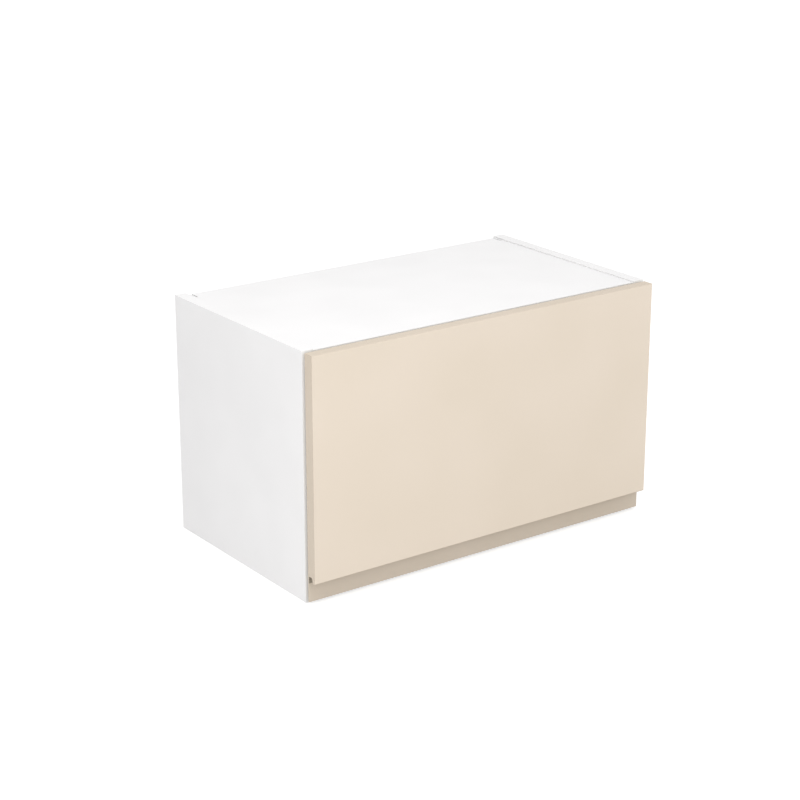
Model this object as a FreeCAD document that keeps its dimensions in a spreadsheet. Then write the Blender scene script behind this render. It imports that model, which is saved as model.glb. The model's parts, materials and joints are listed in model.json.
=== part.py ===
import FreeCAD, Part
import math
import os
import Sketcher
from FreeCAD import Rotation, Vector

# Lift-up wall cabinet, 600 mm wide: a white carcass of 18 mm board with one top-hung door.
# The door has a finger groove along its bottom edge. A lift unit on each side panel carries it
# through a linkage of seven pivots and holds it open, so the door needs no hinges of its own.
# Frame: origin at the middle of the underside, X along the width, the door towards -Y, Z up.
# The left-hand fittings are modelled, and the right-hand ones are their mirror images.

SIZES = {
    # Carcass
    "width": 600.0,
    "height": 360.0,
    "depth": 331.5,
    "board": 18.0,
    "top_front_setback": 0.6,
    "top_rear_setback": 5.0,
    "top_drop": 1.6,
    "back_thickness": 8.0,
    "back_recess": 16.0,
    "groove_depth": 8.0,
    "groove_play": 0.2,
    "dowel_radius": 4.0,
    "dowel_length": 30.0,
    "dowel_hole_in_side": 11.0,
    "dowel_hole_in_shelf": 20.5,
    "dowel_edge_distance": 45.0,
    "glue_gap": 0.05,
    # Door
    "door_thickness": 18.0,
    "door_gap": 3.0,
    "side_reveal": 1.5,
    "top_reveal": 1.5,
    "bottom_reveal": 3.0,
    "grip_height": 30.5,
    "grip_lip": 3.1,
    "grip_nose": 5.2,
    "grip_rise": 8.0,
    "grip_radius": 2.0,
    "grip_slant": 2.2,
    "nose_radius": 1.6,
    "door_edge_radius": 0.8,
    "door_back_radius": 2.0,
    "buffer_radius": 4.0,
    "buffer_thickness": 2.7,
    "buffer_height": 60.0,
    # Linkage of the lift unit
    "opening_angle": 100.0,
    "base_line_angle": 41.4,
    "lever_lean": 8.6,
    "main_pivot_distance": 60.0,
    "guide_pivot_distance": 100.0,
    "near_pivot_distance": 60.0,
    "far_pivot_distance": 105.0,
    "link_thickness": 2.0,
    "lever_thickness": 2.5,
    "link_radius": 6.0,
    "lever_hub_radius": 9.0,
    "lever_tip_radius": 6.5,
    "rivet_radius": 2.5,
    "rivet_head_radius": 4.2,
    "rivet_head_thickness": 1.0,
    "running_clearance": 0.05,
    "press_clearance": 0.02,
    "side_play": 0.2,
    "layer_play": 0.4,
    # Housing of the lift unit
    "housing_depth": 20.0,
    "housing_floor": 2.0,
    "housing_wall": 2.0,
    "cover_thickness": 2.0,
    "housing_corner": 5.0,
    "housing_headroom": 14.0,
    "guide_side_room": 10.0,
    "lug_width": 15.0,
    "lug_height": 20.0,
    "lug_thickness": 4.0,
    "fixing_radius": 3.0,
    "fixing_depth": 11.0,
    "fixing_tip_gap": 1.0,
    "fixing_head_radius": 4.6,
    "fixing_head_thickness": 2.2,
    "fixing_rise": 8.0,
    # Cam, roller and spring inside the housing
    "shaft_radius": 5.0,
    "shaft_end_radius": 3.5,
    "shaft_head_radius": 5.5,
    "cam_start_distance": 28.0,
    "cam_fall": 8.0,
    "cam_width": 10.0,
    "cam_hub_radius": 7.5,
    "cam_gap": 0.1,
    "cam_overrun": 8.0,
    "cam_room": 25.0,
    "guide_pin_radius": 3.0,
    "guide_boss_radius": 6.0,
    "guide_collar_radius": 5.0,
    "roller_radius": 6.0,
    "roller_pin_radius": 2.0,
    "carriage_width": 19.0,
    "carriage_cheek": 3.0,
    "carriage_block": 7.0,
    "carriage_play": 0.3,
    "spring_radius": 6.9,
    "spring_wire_width": 2.6,
    "spring_wire_height": 2.8,
    "spring_end_gap": 0.1,
    "spring_length": 62.0,
    "spring_turns": 6.5,
    "spigot_radius": 5.3,
    "spigot_length": 5.0,
    "seat_thickness": 4.0,
    "seat_travel": 12.0,
    "adjuster_radius": 3.0,
    "adjuster_head_radius": 5.0,
    "adjuster_head_thickness": 4.0,
    # Brackets on the door
    "bracket_thickness": 2.0,
    "bracket_overhang": 12.0,
    "bracket_eye_radius": 7.0,
    "bracket_inner_edge": 8.0,
    "bracket_outer_edge": 46.0,
    "bracket_corner": 4.0,
    "bracket_screw_radius": 2.0,
    "bracket_screw_depth": 13.0,
    "bracket_screw_head_radius": 3.8,
    "bracket_screw_head": 1.8,
    "bracket_screw_inset": 6.5,
    # Wall hangers in the rear corners
    "hanger_notch": 7.0,
    "hanger_length": 40.0,
    "hanger_height": 50.0,
    "hanger_width": 15.0,
    "hanger_top_gap": 3.0,
    "hanger_corner": 3.0,
    "peg_radius": 5.0,
    "peg_depth": 10.0,
    "hook_start": 2.0,
    "hook_thickness": 2.5,
    "hook_play": 0.3,
    "hook_throat": 5.0,
    "hook_finger_drop": 16.0,
    "hook_tip": 4.5,
    "hook_top_gap": 1.5,
    "hanger_screw_radius": 2.9,
    "hanger_screw_head_radius": 4.2,
    "hanger_screw_head": 2.0,
    "hanger_screw_length": 24.0,
}

doc = FreeCAD.newDocument("LiftUpWallCabinet")
sheet = doc.addObject("Spreadsheet::Sheet", "Sizes")
for row, (alias, value) in enumerate(SIZES.items(), start=1):
    sheet.set(f"A{row}", alias)
    sheet.set(f"B{row}", str(value))
    sheet.setAlias(f"B{row}", alias)
places = doc.addObject("App::VarSet", "Places")
doc.recompute()

X_AXIS = Rotation(Vector(0, 1, 0), 90)
Y_AXIS = Rotation(Vector(1, 0, 0), -90)
Z_AXIS = Rotation()
nodes = {}


def place(name, expression):
    """A named length worked out from the sizes, for other expressions to use."""
    places.addProperty("App::PropertyFloat", name)
    places.setExpression(name, expression)
    places.recompute()
    return "Places." + name


def point(name, across, up):
    """A named point in the plane of the side panels."""
    return place(name + "_y", across), place(name + "_z", up)


def number(reference):
    """The present value behind a name such as Sizes.width or Places.front."""
    owner, name = reference.split(".")
    return SIZES[name] if owner == "Sizes" else getattr(places, name)


# ---------------------------------------------------------------- places

place("front", "(Sizes.door_thickness + Sizes.door_gap - Sizes.depth) / 2")
place("rear", "Places.front + Sizes.depth")
place("inner_face", "Sizes.board - Sizes.width / 2")
place("clear_width", "Sizes.width - 2 * Sizes.board")
place("top_face", "Sizes.height - Sizes.top_drop")
place("ceiling", "Places.top_face - Sizes.board")
place("back_front", "Places.rear - Sizes.back_recess - Sizes.back_thickness")
place("door_back", "Places.front - Sizes.door_gap")
place("door_front", "Places.door_back - Sizes.door_thickness")
place("door_top", "Sizes.height - Sizes.top_reveal")
place("nose_bottom", "Sizes.bottom_reveal + Sizes.grip_height")

# The linkage is two parallelograms on a base line through the door's upper rear edge, so the
# door turns about that edge. Its pivots lie where rays along the base line and rays along the
# levers cross: two on the housing, two on the door bracket and three between.
ALONG = "cos(Sizes.base_line_angle)"
DOWN = "sin(Sizes.base_line_angle)"
LEAN = "sin(Sizes.lever_lean)"
DROP = "cos(Sizes.lever_lean)"


def pivot(name, base_distance, lever_distance):
    """A pivot at a distance along the base line and then a distance along the levers."""
    across = f"Places.door_back + ({base_distance}) * {ALONG} + ({lever_distance}) * {LEAN}"
    up = f"Places.door_top - ({base_distance}) * {DOWN} - ({lever_distance}) * {DROP}"
    return point(name, across, up)


MAIN_PIVOT = pivot("main_pivot", "Sizes.main_pivot_distance", "0")
GUIDE_PIVOT = pivot("guide_pivot", "Sizes.guide_pivot_distance", "0")
NEAR_MAIN = pivot("near_main", "Sizes.main_pivot_distance", "Sizes.near_pivot_distance")
FAR_MAIN = pivot("far_main", "Sizes.main_pivot_distance", "Sizes.far_pivot_distance")
NEAR_GUIDE = pivot("near_guide", "Sizes.guide_pivot_distance", "Sizes.near_pivot_distance")
NEAR_DOOR = pivot("near_door", "0", "Sizes.near_pivot_distance")
FAR_DOOR = pivot("far_door", "0", "Sizes.far_pivot_distance")

# Layers of the lift unit, counted from the side panel's inner face towards the middle.
place("cover_face", "Places.inner_face + Sizes.housing_depth + Sizes.cover_thickness")
place("rivet_start", "Places.cover_face + Sizes.layer_play")
place("link_start", "Places.rivet_start + Sizes.rivet_head_thickness + Sizes.side_play")
place("lever_start", "Places.link_start + Sizes.link_thickness + Sizes.layer_play")
place("lever_end", "Places.lever_start + Sizes.lever_thickness")
place("spring_x", "Places.inner_face + (Sizes.housing_floor + Sizes.housing_depth) / 2")

place("link_bore", "Sizes.rivet_radius + Sizes.running_clearance")
place("rivet_bore", "Sizes.rivet_radius + Sizes.press_clearance")
place("shaft_bore", "Sizes.shaft_radius + Sizes.running_clearance")
place("shaft_end_bore", "Sizes.shaft_end_radius + Sizes.press_clearance")
place("guide_bore", "Sizes.guide_pin_radius + Sizes.running_clearance")
place("guide_seat_bore", "Sizes.guide_pin_radius + Sizes.press_clearance")
place("fixing_bore", "Sizes.fixing_radius + Sizes.glue_gap")
place("cover_collar_bore", "Sizes.guide_collar_radius + Sizes.layer_play")
place("cover_shaft_bore", "Sizes.shaft_radius + Sizes.layer_play")

# Heights of what stands under the cam on the spring's axis.
place("roller_z", "Places.main_pivot_z - Sizes.cam_start_distance")
place("block_top", "Places.roller_z - Sizes.roller_radius - Sizes.carriage_play")
place("block_bottom", "Places.block_top - Sizes.carriage_block")
place("seat_top", "Places.block_bottom - Sizes.spring_length")
place("seat_bottom", "Places.seat_top - Sizes.seat_thickness")
place("housing_bottom", "Places.seat_bottom - Sizes.seat_travel - Sizes.housing_wall")
place("bay_half", "Sizes.carriage_width / 2 + Sizes.carriage_play + Sizes.housing_wall")

# Outline of the housing: wide round the cam and the guide pivot, narrow along the spring.
place("housing_left", "Places.main_pivot_y - Sizes.cam_room - Sizes.housing_wall")
place("housing_right", "Places.guide_pivot_y + Sizes.guide_side_room")
place("housing_top", "Places.main_pivot_z + Sizes.housing_headroom")
place("bay_left", "Places.main_pivot_y - Places.bay_half")
place("bay_right", "Places.main_pivot_y + Places.bay_half")
place("left_shoulder", "Places.main_pivot_z - Sizes.cam_room + Places.bay_half / 2")
place("right_shoulder", "Places.guide_pivot_z - Sizes.guide_side_room")
HOUSING_OUTLINE = [
    point("corner_a", "Places.housing_left", "Places.housing_top"),
    point("corner_b", "Places.housing_left", "Places.left_shoulder"),
    point("corner_c", "Places.bay_left",
          "Places.left_shoulder - (Places.bay_left - Places.housing_left)"),
    point("corner_d", "Places.bay_left", "Places.housing_bottom"),
    point("corner_e", "Places.bay_right", "Places.housing_bottom"),
    point("corner_f", "Places.bay_right",
          "Places.right_shoulder - (Places.housing_right - Places.bay_right)"),
    point("corner_g", "Places.housing_right", "Places.right_shoulder"),
    point("corner_h", "Places.housing_right", "Places.housing_top"),
]
# The cavity follows it one wall further in, where a slope of 45 degrees shifts by this much.
place("slope_shift", "Sizes.housing_wall * tan(22.5)")
place("cavity_left", "Places.housing_left + Sizes.housing_wall")
place("cavity_right", "Places.housing_right - Sizes.housing_wall")
place("cavity_top", "Places.housing_top - Sizes.housing_wall")
place("cavity_bottom", "Places.housing_bottom + Sizes.housing_wall")
place("cavity_bay_left", "Places.bay_left + Sizes.housing_wall")
place("cavity_bay_right", "Places.bay_right - Sizes.housing_wall")
CAVITY_OUTLINE = [
    point("inside_a", "Places.cavity_left", "Places.cavity_top"),
    point("inside_b", "Places.cavity_left", "Places.corner_b_z + Places.slope_shift"),
    point("inside_c", "Places.cavity_bay_left", "Places.corner_c_z + Places.slope_shift"),
    point("inside_d", "Places.cavity_bay_left", "Places.cavity_bottom"),
    point("inside_e", "Places.cavity_bay_right", "Places.cavity_bottom"),
    point("inside_f", "Places.cavity_bay_right", "Places.corner_f_z + Places.slope_shift"),
    point("inside_g", "Places.cavity_right", "Places.corner_g_z + Places.slope_shift"),
    point("inside_h", "Places.cavity_right", "Places.cavity_top"),
]
place("lug_left", "Places.bay_left - Sizes.lug_width")
place("lug_right", "Places.bay_right + Sizes.lug_width")
place("lug_top", "Places.housing_bottom + Sizes.lug_height")
LUG_OUTLINE = [
    point("lug_a", "Places.lug_left", "Places.lug_top"),
    point("lug_b", "Places.lug_left", "Places.housing_bottom"),
    point("lug_c", "Places.lug_right", "Places.housing_bottom"),
    point("lug_d", "Places.lug_right", "Places.lug_top"),
]
FIXINGS = [
    point("fixing_upper", "Places.guide_pivot_y",
          "Places.main_pivot_z + Sizes.housing_headroom - Sizes.housing_wall"
          " - Sizes.fixing_rise"),
    point("fixing_left", "Places.bay_left - Sizes.lug_width / 2",
          "Places.housing_bottom + Sizes.lug_height / 2"),
    point("fixing_right", "Places.bay_right + Sizes.lug_width / 2",
          "Places.housing_bottom + Sizes.lug_height / 2"),
]


# ---------------------------------------------------------------- ways to make a solid

def box(name, corner, lengths):
    """A block from its low corner and its three lengths."""
    solid = doc.addObject("Part::Box", name)
    for axis, expression in zip("xyz", corner):
        solid.setExpression(f"Placement.Base.{axis}", expression)
    for side, expression in zip(("Length", "Width", "Height"), lengths):
        solid.setExpression(side, expression)
    return solid


def rod(name, start, radius, length, rotation=X_AXIS):
    """A round rod from its start point, along X unless it is turned."""
    solid = doc.addObject("Part::Cylinder", name)
    solid.Placement = FreeCAD.Placement(Vector(), rotation)
    for axis, expression in zip("xyz", start):
        solid.setExpression(f"Placement.Base.{axis}", expression)
    solid.setExpression("Radius", radius)
    solid.setExpression("Height", length)
    return solid


def join(name, solids):
    joined = doc.addObject("Part::MultiFuse", name)
    joined.Shapes = solids
    joined.Refine = True
    return joined


def cut(name, base, tools):
    group = doc.addObject("Part::Compound", name + "_tools")
    group.Links = tools
    result = doc.addObject("Part::Cut", name)
    result.Base = base
    result.Tool = group
    return result


def rounded(name, base, radius, wanted):
    """The base with each edge that the test picks out rounded to one radius."""
    doc.recompute()
    result = doc.addObject("Part::Fillet", name)
    result.Base = base
    size = number(radius)
    picked = [i for i, edge in enumerate(base.Shape.Edges, start=1) if wanted(edge)]
    result.Edges = [(i, size, size) for i in picked]
    return result


def lies_at(edge, direction, y=None, z=None, x=None):
    """Whether a straight edge runs along a direction and through the given coordinates."""
    if edge.Curve.TypeId != "Part::GeomLine":
        return False
    if abs(abs(edge.Curve.Direction.dot(direction)) - 1) > 1e-6:
        return False
    middle = edge.valueAt((edge.FirstParameter + edge.LastParameter) / 2)
    asked = ((x, middle.x), (y, middle.y), (z, middle.z))
    return all(want is None or abs(want - have) < 1e-4 for want, have in asked)


def new_sketch(body, name, offset=None):
    """A sketch on the body's own YZ plane, or on a plane parallel to it."""
    plane = next(f for f in body.Origin.OriginFeatures if f.Role == "YZ_Plane")
    sketch = body.newObject("Sketcher::SketchObject", name)
    sketch.AttachmentSupport = [(plane, "")]
    sketch.MapMode = "FlatFace"
    if offset:
        sketch.setExpression("AttachmentOffset.Base.z", offset)
    return sketch


def constrain(sketch, kind, geometry, vertex, reference):
    """One driving size in a sketch, bound to a named value."""
    if vertex is None:
        constraint = Sketcher.Constraint(kind, geometry, number(reference))
    else:
        constraint = Sketcher.Constraint(kind, geometry, vertex, number(reference))
    index = sketch.addConstraint(constraint)
    sketch.setExpression(f"Constraints[{index}]", reference)


def pin(sketch, geometry, vertex, spot):
    constrain(sketch, "DistanceX", geometry, vertex, spot[0])
    constrain(sketch, "DistanceY", geometry, vertex, spot[1])


def polygon(sketch, spots):
    """A closed outline of straight lines through named points."""
    first = sketch.GeometryCount
    corners = [Vector(number(y), number(z), 0) for y, z in spots]
    count = len(corners)
    for i in range(count):
        sketch.addGeometry(Part.LineSegment(corners[i], corners[(i + 1) % count]), False)
    for i in range(count):
        following = first + (i + 1) % count
        sketch.addConstraint(Sketcher.Constraint("Coincident", first + i, 2, following, 1))
    for i, spot in enumerate(spots):
        pin(sketch, first + i, 1, spot)


def circle(sketch, spot, radius):
    centre = Vector(number(spot[0]), number(spot[1]), 0)
    index = sketch.addGeometry(Part.Circle(centre, Vector(0, 0, 1), number(radius)), False)
    pin(sketch, index, 3, spot)
    constrain(sketch, "Radius", index, None, radius)


def strap(sketch, start, end, start_radius, end_radius):
    """The outline of a lever: two round ends joined by tangent lines."""
    ends = [Vector(number(y), number(z), 0) for y, z in (start, end)]
    radii = [number(start_radius), number(end_radius)]
    run = ends[1] - ends[0]
    heading = math.atan2(run.y, run.x)
    spread = math.acos((radii[0] - radii[1]) / run.Length)
    low, high = heading - spread, heading + spread
    up = Vector(0, 0, 1)

    def rim(which, angle):
        return ends[which] + Vector(math.cos(angle), math.sin(angle), 0) * radii[which]

    first = sketch.GeometryCount
    turn = 2 * math.pi
    sketch.addGeometry(Part.ArcOfCircle(Part.Circle(ends[0], up, radii[0]), high, low + turn), False)
    sketch.addGeometry(Part.LineSegment(rim(0, low), rim(1, low)), False)
    sketch.addGeometry(Part.ArcOfCircle(Part.Circle(ends[1], up, radii[1]), low, high), False)
    sketch.addGeometry(Part.LineSegment(rim(1, high), rim(0, high)), False)
    for i in range(4):
        following = first + (i + 1) % 4
        sketch.addConstraint(Sketcher.Constraint("Tangent", first + i, 2, following, 1))
    pin(sketch, first, 3, start)
    pin(sketch, first + 2, 3, end)
    constrain(sketch, "Radius", first, None, start_radius)
    constrain(sketch, "Radius", first + 2, None, end_radius)


def new_body(name, start):
    body = doc.addObject("PartDesign::Body", name)
    body.setExpression("Placement.Base.x", start)
    return body


def pad(body, sketch, length):
    feature = body.newObject("PartDesign::Pad", sketch.Name + "_pad")
    feature.Profile = sketch
    feature.setExpression("Length", length)
    return feature


def pocket(body, sketch, length):
    feature = body.newObject("PartDesign::Pocket", sketch.Name + "_pocket")
    feature.Profile = sketch
    feature.setExpression("Length", length)
    return feature


def round_corners(body, feature, spots, radius):
    """Rounds the edges along X that stand on the given outline points."""
    doc.recompute()
    names = []
    for y, z in spots:
        for i, edge in enumerate(feature.Shape.Edges, start=1):
            if lies_at(edge, Vector(1, 0, 0), y=number(y), z=number(z)):
                names.append(f"Edge{i}")
    fillet = body.newObject("PartDesign::Fillet", feature.Name + "_fillet")
    fillet.Base = (feature, names)
    fillet.setExpression("Radius", radius)
    return fillet


def keep(label, solid):
    """Names a finished sub-part."""
    solid.Label = label
    nodes[label] = solid
    return solid


def keep_pair(name, solid):
    """Names a finished left-hand sub-part and mirrors it for the right-hand side."""
    keep("left_" + name, solid)
    mirror = doc.addObject("Part::Mirroring", "right_" + name)
    mirror.Source = solid
    mirror.Base = Vector(0, 0, 0)
    mirror.Normal = Vector(1, 0, 0)
    return keep("right_" + name, mirror)


def keep_group(label, solids):
    """Names identical pieces that share one sub-part, with their mirror images."""
    half = doc.addObject("Part::Compound", label + "_left")
    half.Links = solids
    mirror = doc.addObject("Part::Mirroring", label + "_right")
    mirror.Source = half
    mirror.Base = Vector(0, 0, 0)
    mirror.Normal = Vector(1, 0, 0)
    group = doc.addObject("Part::Compound", label)
    group.Links = [half, mirror]
    return keep(label, group)


# ---------------------------------------------------------------- carcass

place("dowel_first", "Places.front + Sizes.dowel_edge_distance")
place("dowel_last", "Places.back_front - Sizes.dowel_edge_distance")
place("dowel_low", "Sizes.board / 2")
place("dowel_high", "Places.top_face - Sizes.board / 2")
place("dowel_hole_start", "Places.inner_face - Sizes.dowel_hole_in_side")
place("dowel_start", "Places.inner_face + (Sizes.dowel_hole_in_shelf"
      " - Sizes.dowel_hole_in_side - Sizes.dowel_length) / 2")
place("dowel_bore", "Sizes.dowel_radius + Sizes.glue_gap")
DOWEL_SPOTS = [(f"Places.dowel_{along}", f"Places.dowel_{level}")
               for along in ("first", "last") for level in ("low", "high")]
place("groove_front", "Places.back_front - Sizes.groove_play")
place("groove_width", "Sizes.back_thickness + 2 * Sizes.groove_play")
place("peg_start", "Places.inner_face - Sizes.peg_depth")
place("peg_bore", "Sizes.peg_radius + Sizes.glue_gap")
place("hanger_front", "Places.back_front - Sizes.hanger_length")
place("hanger_top", "Places.ceiling - Sizes.hanger_top_gap")
place("hanger_bottom", "Places.hanger_top - Sizes.hanger_height")
place("peg_y", "Places.hanger_front + Sizes.hanger_length / 3")
PEGS = [
    point("peg_upper", "Places.peg_y", "Places.hanger_top - Sizes.hanger_height / 4"),
    point("peg_lower", "Places.peg_y", "Places.hanger_bottom + Sizes.hanger_height / 4"),
]


def side_panels():
    """Side panel with dowel holes, a groove for the back and holes for the fittings."""
    panel = box("side_board", ("-Sizes.width / 2", "Places.front", "0"),
                ("Sizes.board", "Sizes.depth", "Sizes.height"))
    tools = [box("side_groove", ("Places.inner_face - Sizes.groove_depth", "Places.groove_front",
                                 "Sizes.board - Sizes.groove_depth"),
                 ("Sizes.groove_depth", "Places.groove_width",
                  "Places.ceiling - Sizes.board + 2 * Sizes.groove_depth"))]
    for y, z in DOWEL_SPOTS:
        tools.append(rod("side_dowel_hole", ("Places.dowel_hole_start", y, z),
                         "Places.dowel_bore", "Sizes.dowel_hole_in_side"))
    for y, z in FIXINGS:
        tools.append(rod("side_fixing_hole", ("Places.inner_face - Sizes.fixing_depth", y, z),
                         "Places.fixing_bore", "Sizes.fixing_depth"))
    for y, z in PEGS:
        tools.append(rod("side_peg_hole", ("Places.peg_start", y, z),
                         "Places.peg_bore", "Sizes.peg_depth"))
    keep_pair("side_panel", cut("side_panel", panel, tools))


def end_holes(level):
    """The dowel holes in both ends of a panel that lies between the sides."""
    tools = []
    for y, z in DOWEL_SPOTS:
        if z.endswith(level):
            tools.append(rod("shelf_dowel_hole", ("Places.inner_face", y, z),
                             "Places.dowel_bore", "Sizes.dowel_hole_in_shelf"))
            tools.append(rod("shelf_dowel_hole",
                             ("-Places.inner_face - Sizes.dowel_hole_in_shelf", y, z),
                             "Places.dowel_bore", "Sizes.dowel_hole_in_shelf"))
    return tools


def top_panel():
    """Top between the sides, notched at both rear corners for the wall hangers."""
    panel = box("top_board",
                ("Places.inner_face", "Places.front + Sizes.top_front_setback", "Places.ceiling"),
                ("Places.clear_width",
                 "Sizes.depth - Sizes.top_front_setback - Sizes.top_rear_setback",
                 "Sizes.board"))
    tools = end_holes("high")
    tools.append(box("top_groove", ("Places.inner_face", "Places.groove_front", "Places.ceiling"),
                     ("Places.clear_width", "Places.groove_width", "Sizes.groove_depth")))
    for x in ("Places.inner_face", "-Places.inner_face - Sizes.hanger_notch"):
        tools.append(box("top_notch", (x, "Places.back_front", "Places.ceiling"),
                         ("Sizes.hanger_notch", "Places.rear - Places.back_front",
                          "Sizes.board")))
    keep("top_panel", cut("top_panel", panel, tools))


def bottom_panel():
    """Bottom between the sides, with the groove for the back in its upper face."""
    panel = box("bottom_board", ("Places.inner_face", "Places.front", "0"),
                ("Places.clear_width", "Sizes.depth", "Sizes.board"))
    tools = end_holes("low")
    tools.append(box("bottom_groove", ("Places.inner_face", "Places.groove_front",
                                       "Sizes.board - Sizes.groove_depth"),
                     ("Places.clear_width", "Places.groove_width", "Sizes.groove_depth")))
    keep("bottom_panel", cut("bottom_panel", panel, tools))


def back_panel():
    """Back let into the grooves, with its upper corners cut away for the hanger hooks."""
    tongue = "(Sizes.groove_depth - Sizes.groove_play)"
    panel = box("back_board", (f"Places.inner_face - {tongue}", "Places.back_front",
                               f"Sizes.board - {tongue}"),
                (f"Places.clear_width + 2 * {tongue}", "Sizes.back_thickness",
                 f"Places.ceiling - Sizes.board + 2 * {tongue}"))
    tools = []
    for x in (f"Places.inner_face - {tongue}", "-Places.inner_face - Sizes.hanger_notch"):
        tools.append(box("back_notch", (x, "Places.back_front", "Places.hanger_bottom"),
                         (f"Sizes.hanger_notch + {tongue}", "Sizes.back_thickness",
                          "Places.ceiling - Places.hanger_bottom + Sizes.groove_depth")))
    keep("back_panel", cut("back_panel", panel, tools))


def carcass_dowels():
    solids = [rod("dowel", ("Places.dowel_start", y, z), "Sizes.dowel_radius",
                  "Sizes.dowel_length") for y, z in DOWEL_SPOTS]
    keep_group("carcass_dowels", solids)


# ---------------------------------------------------------------- door

place("lip_front", "Places.door_back - Sizes.grip_lip")
place("nose_back", "Places.door_front + Sizes.grip_nose")
place("scoop_top", "Places.nose_bottom + Sizes.grip_rise")
place("scoop_front", "Places.nose_back + Sizes.grip_slant")
DOOR_OUTLINE = [
    point("door_a", "Places.door_back", "Places.door_top"),
    point("door_b", "Places.door_front", "Places.door_top"),
    point("door_c", "Places.door_front", "Places.nose_bottom"),
    point("door_d", "Places.nose_back", "Places.nose_bottom"),
    point("door_e", "Places.scoop_front", "Places.scoop_top"),
    point("door_f", "Places.lip_front", "Places.scoop_top"),
    point("door_g", "Places.lip_front", "Sizes.bottom_reveal"),
    point("door_h", "Places.door_back", "Sizes.bottom_reveal"),
]
place("door_left", "Sizes.side_reveal - Sizes.width / 2")
place("bracket_x", "Places.inner_face + Sizes.bracket_inner_edge")
place("bracket_face", "Places.door_back + Sizes.bracket_thickness")
place("bracket_low", "Places.far_door_z - Sizes.bracket_overhang")
place("bracket_high", "Places.near_door_z + Sizes.bracket_overhang")
place("screw_inner", "Places.bracket_x + Sizes.bracket_screw_inset")
place("screw_outer", "Places.inner_face + Sizes.bracket_outer_edge - Sizes.bracket_screw_inset")
place("screw_low", "Places.bracket_low + Sizes.bracket_screw_inset")
place("screw_high", "Places.bracket_high - Sizes.bracket_screw_inset")
BRACKET_SCREWS = [(x, z) for x in ("Places.screw_inner", "Places.screw_outer")
                  for z in ("Places.screw_low", "Places.screw_high")]


def door_panel():
    """Door with a front skin that ends in a nose above a recessed lip, as a finger groove."""
    body = new_body("door", "Places.door_left")
    sketch = new_sketch(body, "door_profile")
    polygon(sketch, DOOR_OUTLINE)
    feature = pad(body, sketch, "Sizes.width - 2 * Sizes.side_reveal")
    feature = round_corners(body, feature, DOOR_OUTLINE[2:4], "Sizes.nose_radius")
    feature = round_corners(body, feature, DOOR_OUTLINE[4:6], "Sizes.grip_radius")
    round_corners(body, feature, DOOR_OUTLINE[1:2], "Sizes.door_edge_radius")
    back, up, low = (number(f"Places.door_{end}") for end in ("back", "top", "left"))
    softened = rounded(
        "door_softened", body, "Sizes.door_back_radius",
        lambda edge: lies_at(edge, Vector(1, 0, 0), y=back, z=up)
        or lies_at(edge, Vector(1, 0, 0), y=back, z=SIZES["bottom_reveal"])
        or lies_at(edge, Vector(0, 0, 1), y=back, x=low)
        or lies_at(edge, Vector(0, 0, 1), y=back, x=-low))
    tools = []
    for x, z in BRACKET_SCREWS:
        for side in (x, "-" + x):
            tools.append(rod("pilot_hole", (side, "Places.door_back - Sizes.bracket_screw_depth", z),
                             "Sizes.bracket_screw_radius + Sizes.glue_gap",
                             "Sizes.bracket_screw_depth", Y_AXIS))
    keep("door_panel", cut("door_panel", softened, tools))


def door_buffers():
    """Clear bumpers on the door's back that meet the front edges of the side panels."""
    solids = [rod("buffer", ("(Sizes.board - Sizes.width) / 2", "Places.door_back",
                             "Sizes.buffer_height"),
                  "Sizes.buffer_radius", "Sizes.buffer_thickness", Y_AXIS)]
    keep_group("door_buffers", solids)


def bracket_screws():
    """Pan-head screws that hold the brackets to the door."""
    solids = []
    for x, z in BRACKET_SCREWS:
        shank = rod("bracket_screw_shank",
                    (x, "Places.bracket_face - Sizes.bracket_screw_depth", z),
                    "Sizes.bracket_screw_radius", "Sizes.bracket_screw_depth", Y_AXIS)
        head = rod("bracket_screw_head", (x, "Places.bracket_face", z),
                   "Sizes.bracket_screw_head_radius", "Sizes.bracket_screw_head", Y_AXIS)
        solids.append(join("bracket_screw", [shank, head]))
    keep_group("bracket_screws", solids)


BRACKET_OUTLINE = [
    point("ear_a", "Places.door_back", "Places.bracket_low"),
    point("ear_b", "Places.far_door_y + Sizes.bracket_eye_radius",
          "Places.far_door_z - Sizes.bracket_eye_radius"),
    point("ear_c", "Places.far_door_y + Sizes.bracket_eye_radius",
          "Places.far_door_z + Sizes.bracket_eye_radius / 2"),
    point("ear_d", "Places.near_door_y + Sizes.bracket_eye_radius",
          "Places.near_door_z + Sizes.bracket_eye_radius"),
    point("ear_e", "Places.door_back", "Places.bracket_high"),
]


def door_bracket():
    """Steel bracket: a plate on the door's back with an ear that carries two link pivots."""
    body = new_body("bracket_ear", "Places.lever_start")
    sketch = new_sketch(body, "bracket_ear_outline")
    polygon(sketch, BRACKET_OUTLINE)
    circle(sketch, NEAR_DOOR, "Places.rivet_bore")
    circle(sketch, FAR_DOOR, "Places.rivet_bore")
    feature = pad(body, sketch, "Sizes.lever_thickness")
    round_corners(body, feature, BRACKET_OUTLINE[1:4], "Sizes.bracket_corner")
    base = box("bracket_plate", ("Places.bracket_x", "Places.door_back", "Places.bracket_low"),
               ("Sizes.bracket_outer_edge - Sizes.bracket_inner_edge",
                "Sizes.bracket_thickness", "Places.bracket_high - Places.bracket_low"))
    base = rounded("bracket_plate_rounded", base, "Sizes.bracket_corner",
                   lambda edge: lies_at(edge, Vector(0, 1, 0)))
    tools = [rod("bracket_screw_hole", (x, "Places.door_back", z),
                 "Sizes.bracket_screw_radius + Sizes.glue_gap", "Sizes.bracket_thickness", Y_AXIS)
             for x, z in BRACKET_SCREWS]
    keep_pair("door_bracket", cut("door_bracket", join("bracket_blank", [body, base]), tools))


# ---------------------------------------------------------------- lift unit: linkage

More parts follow.
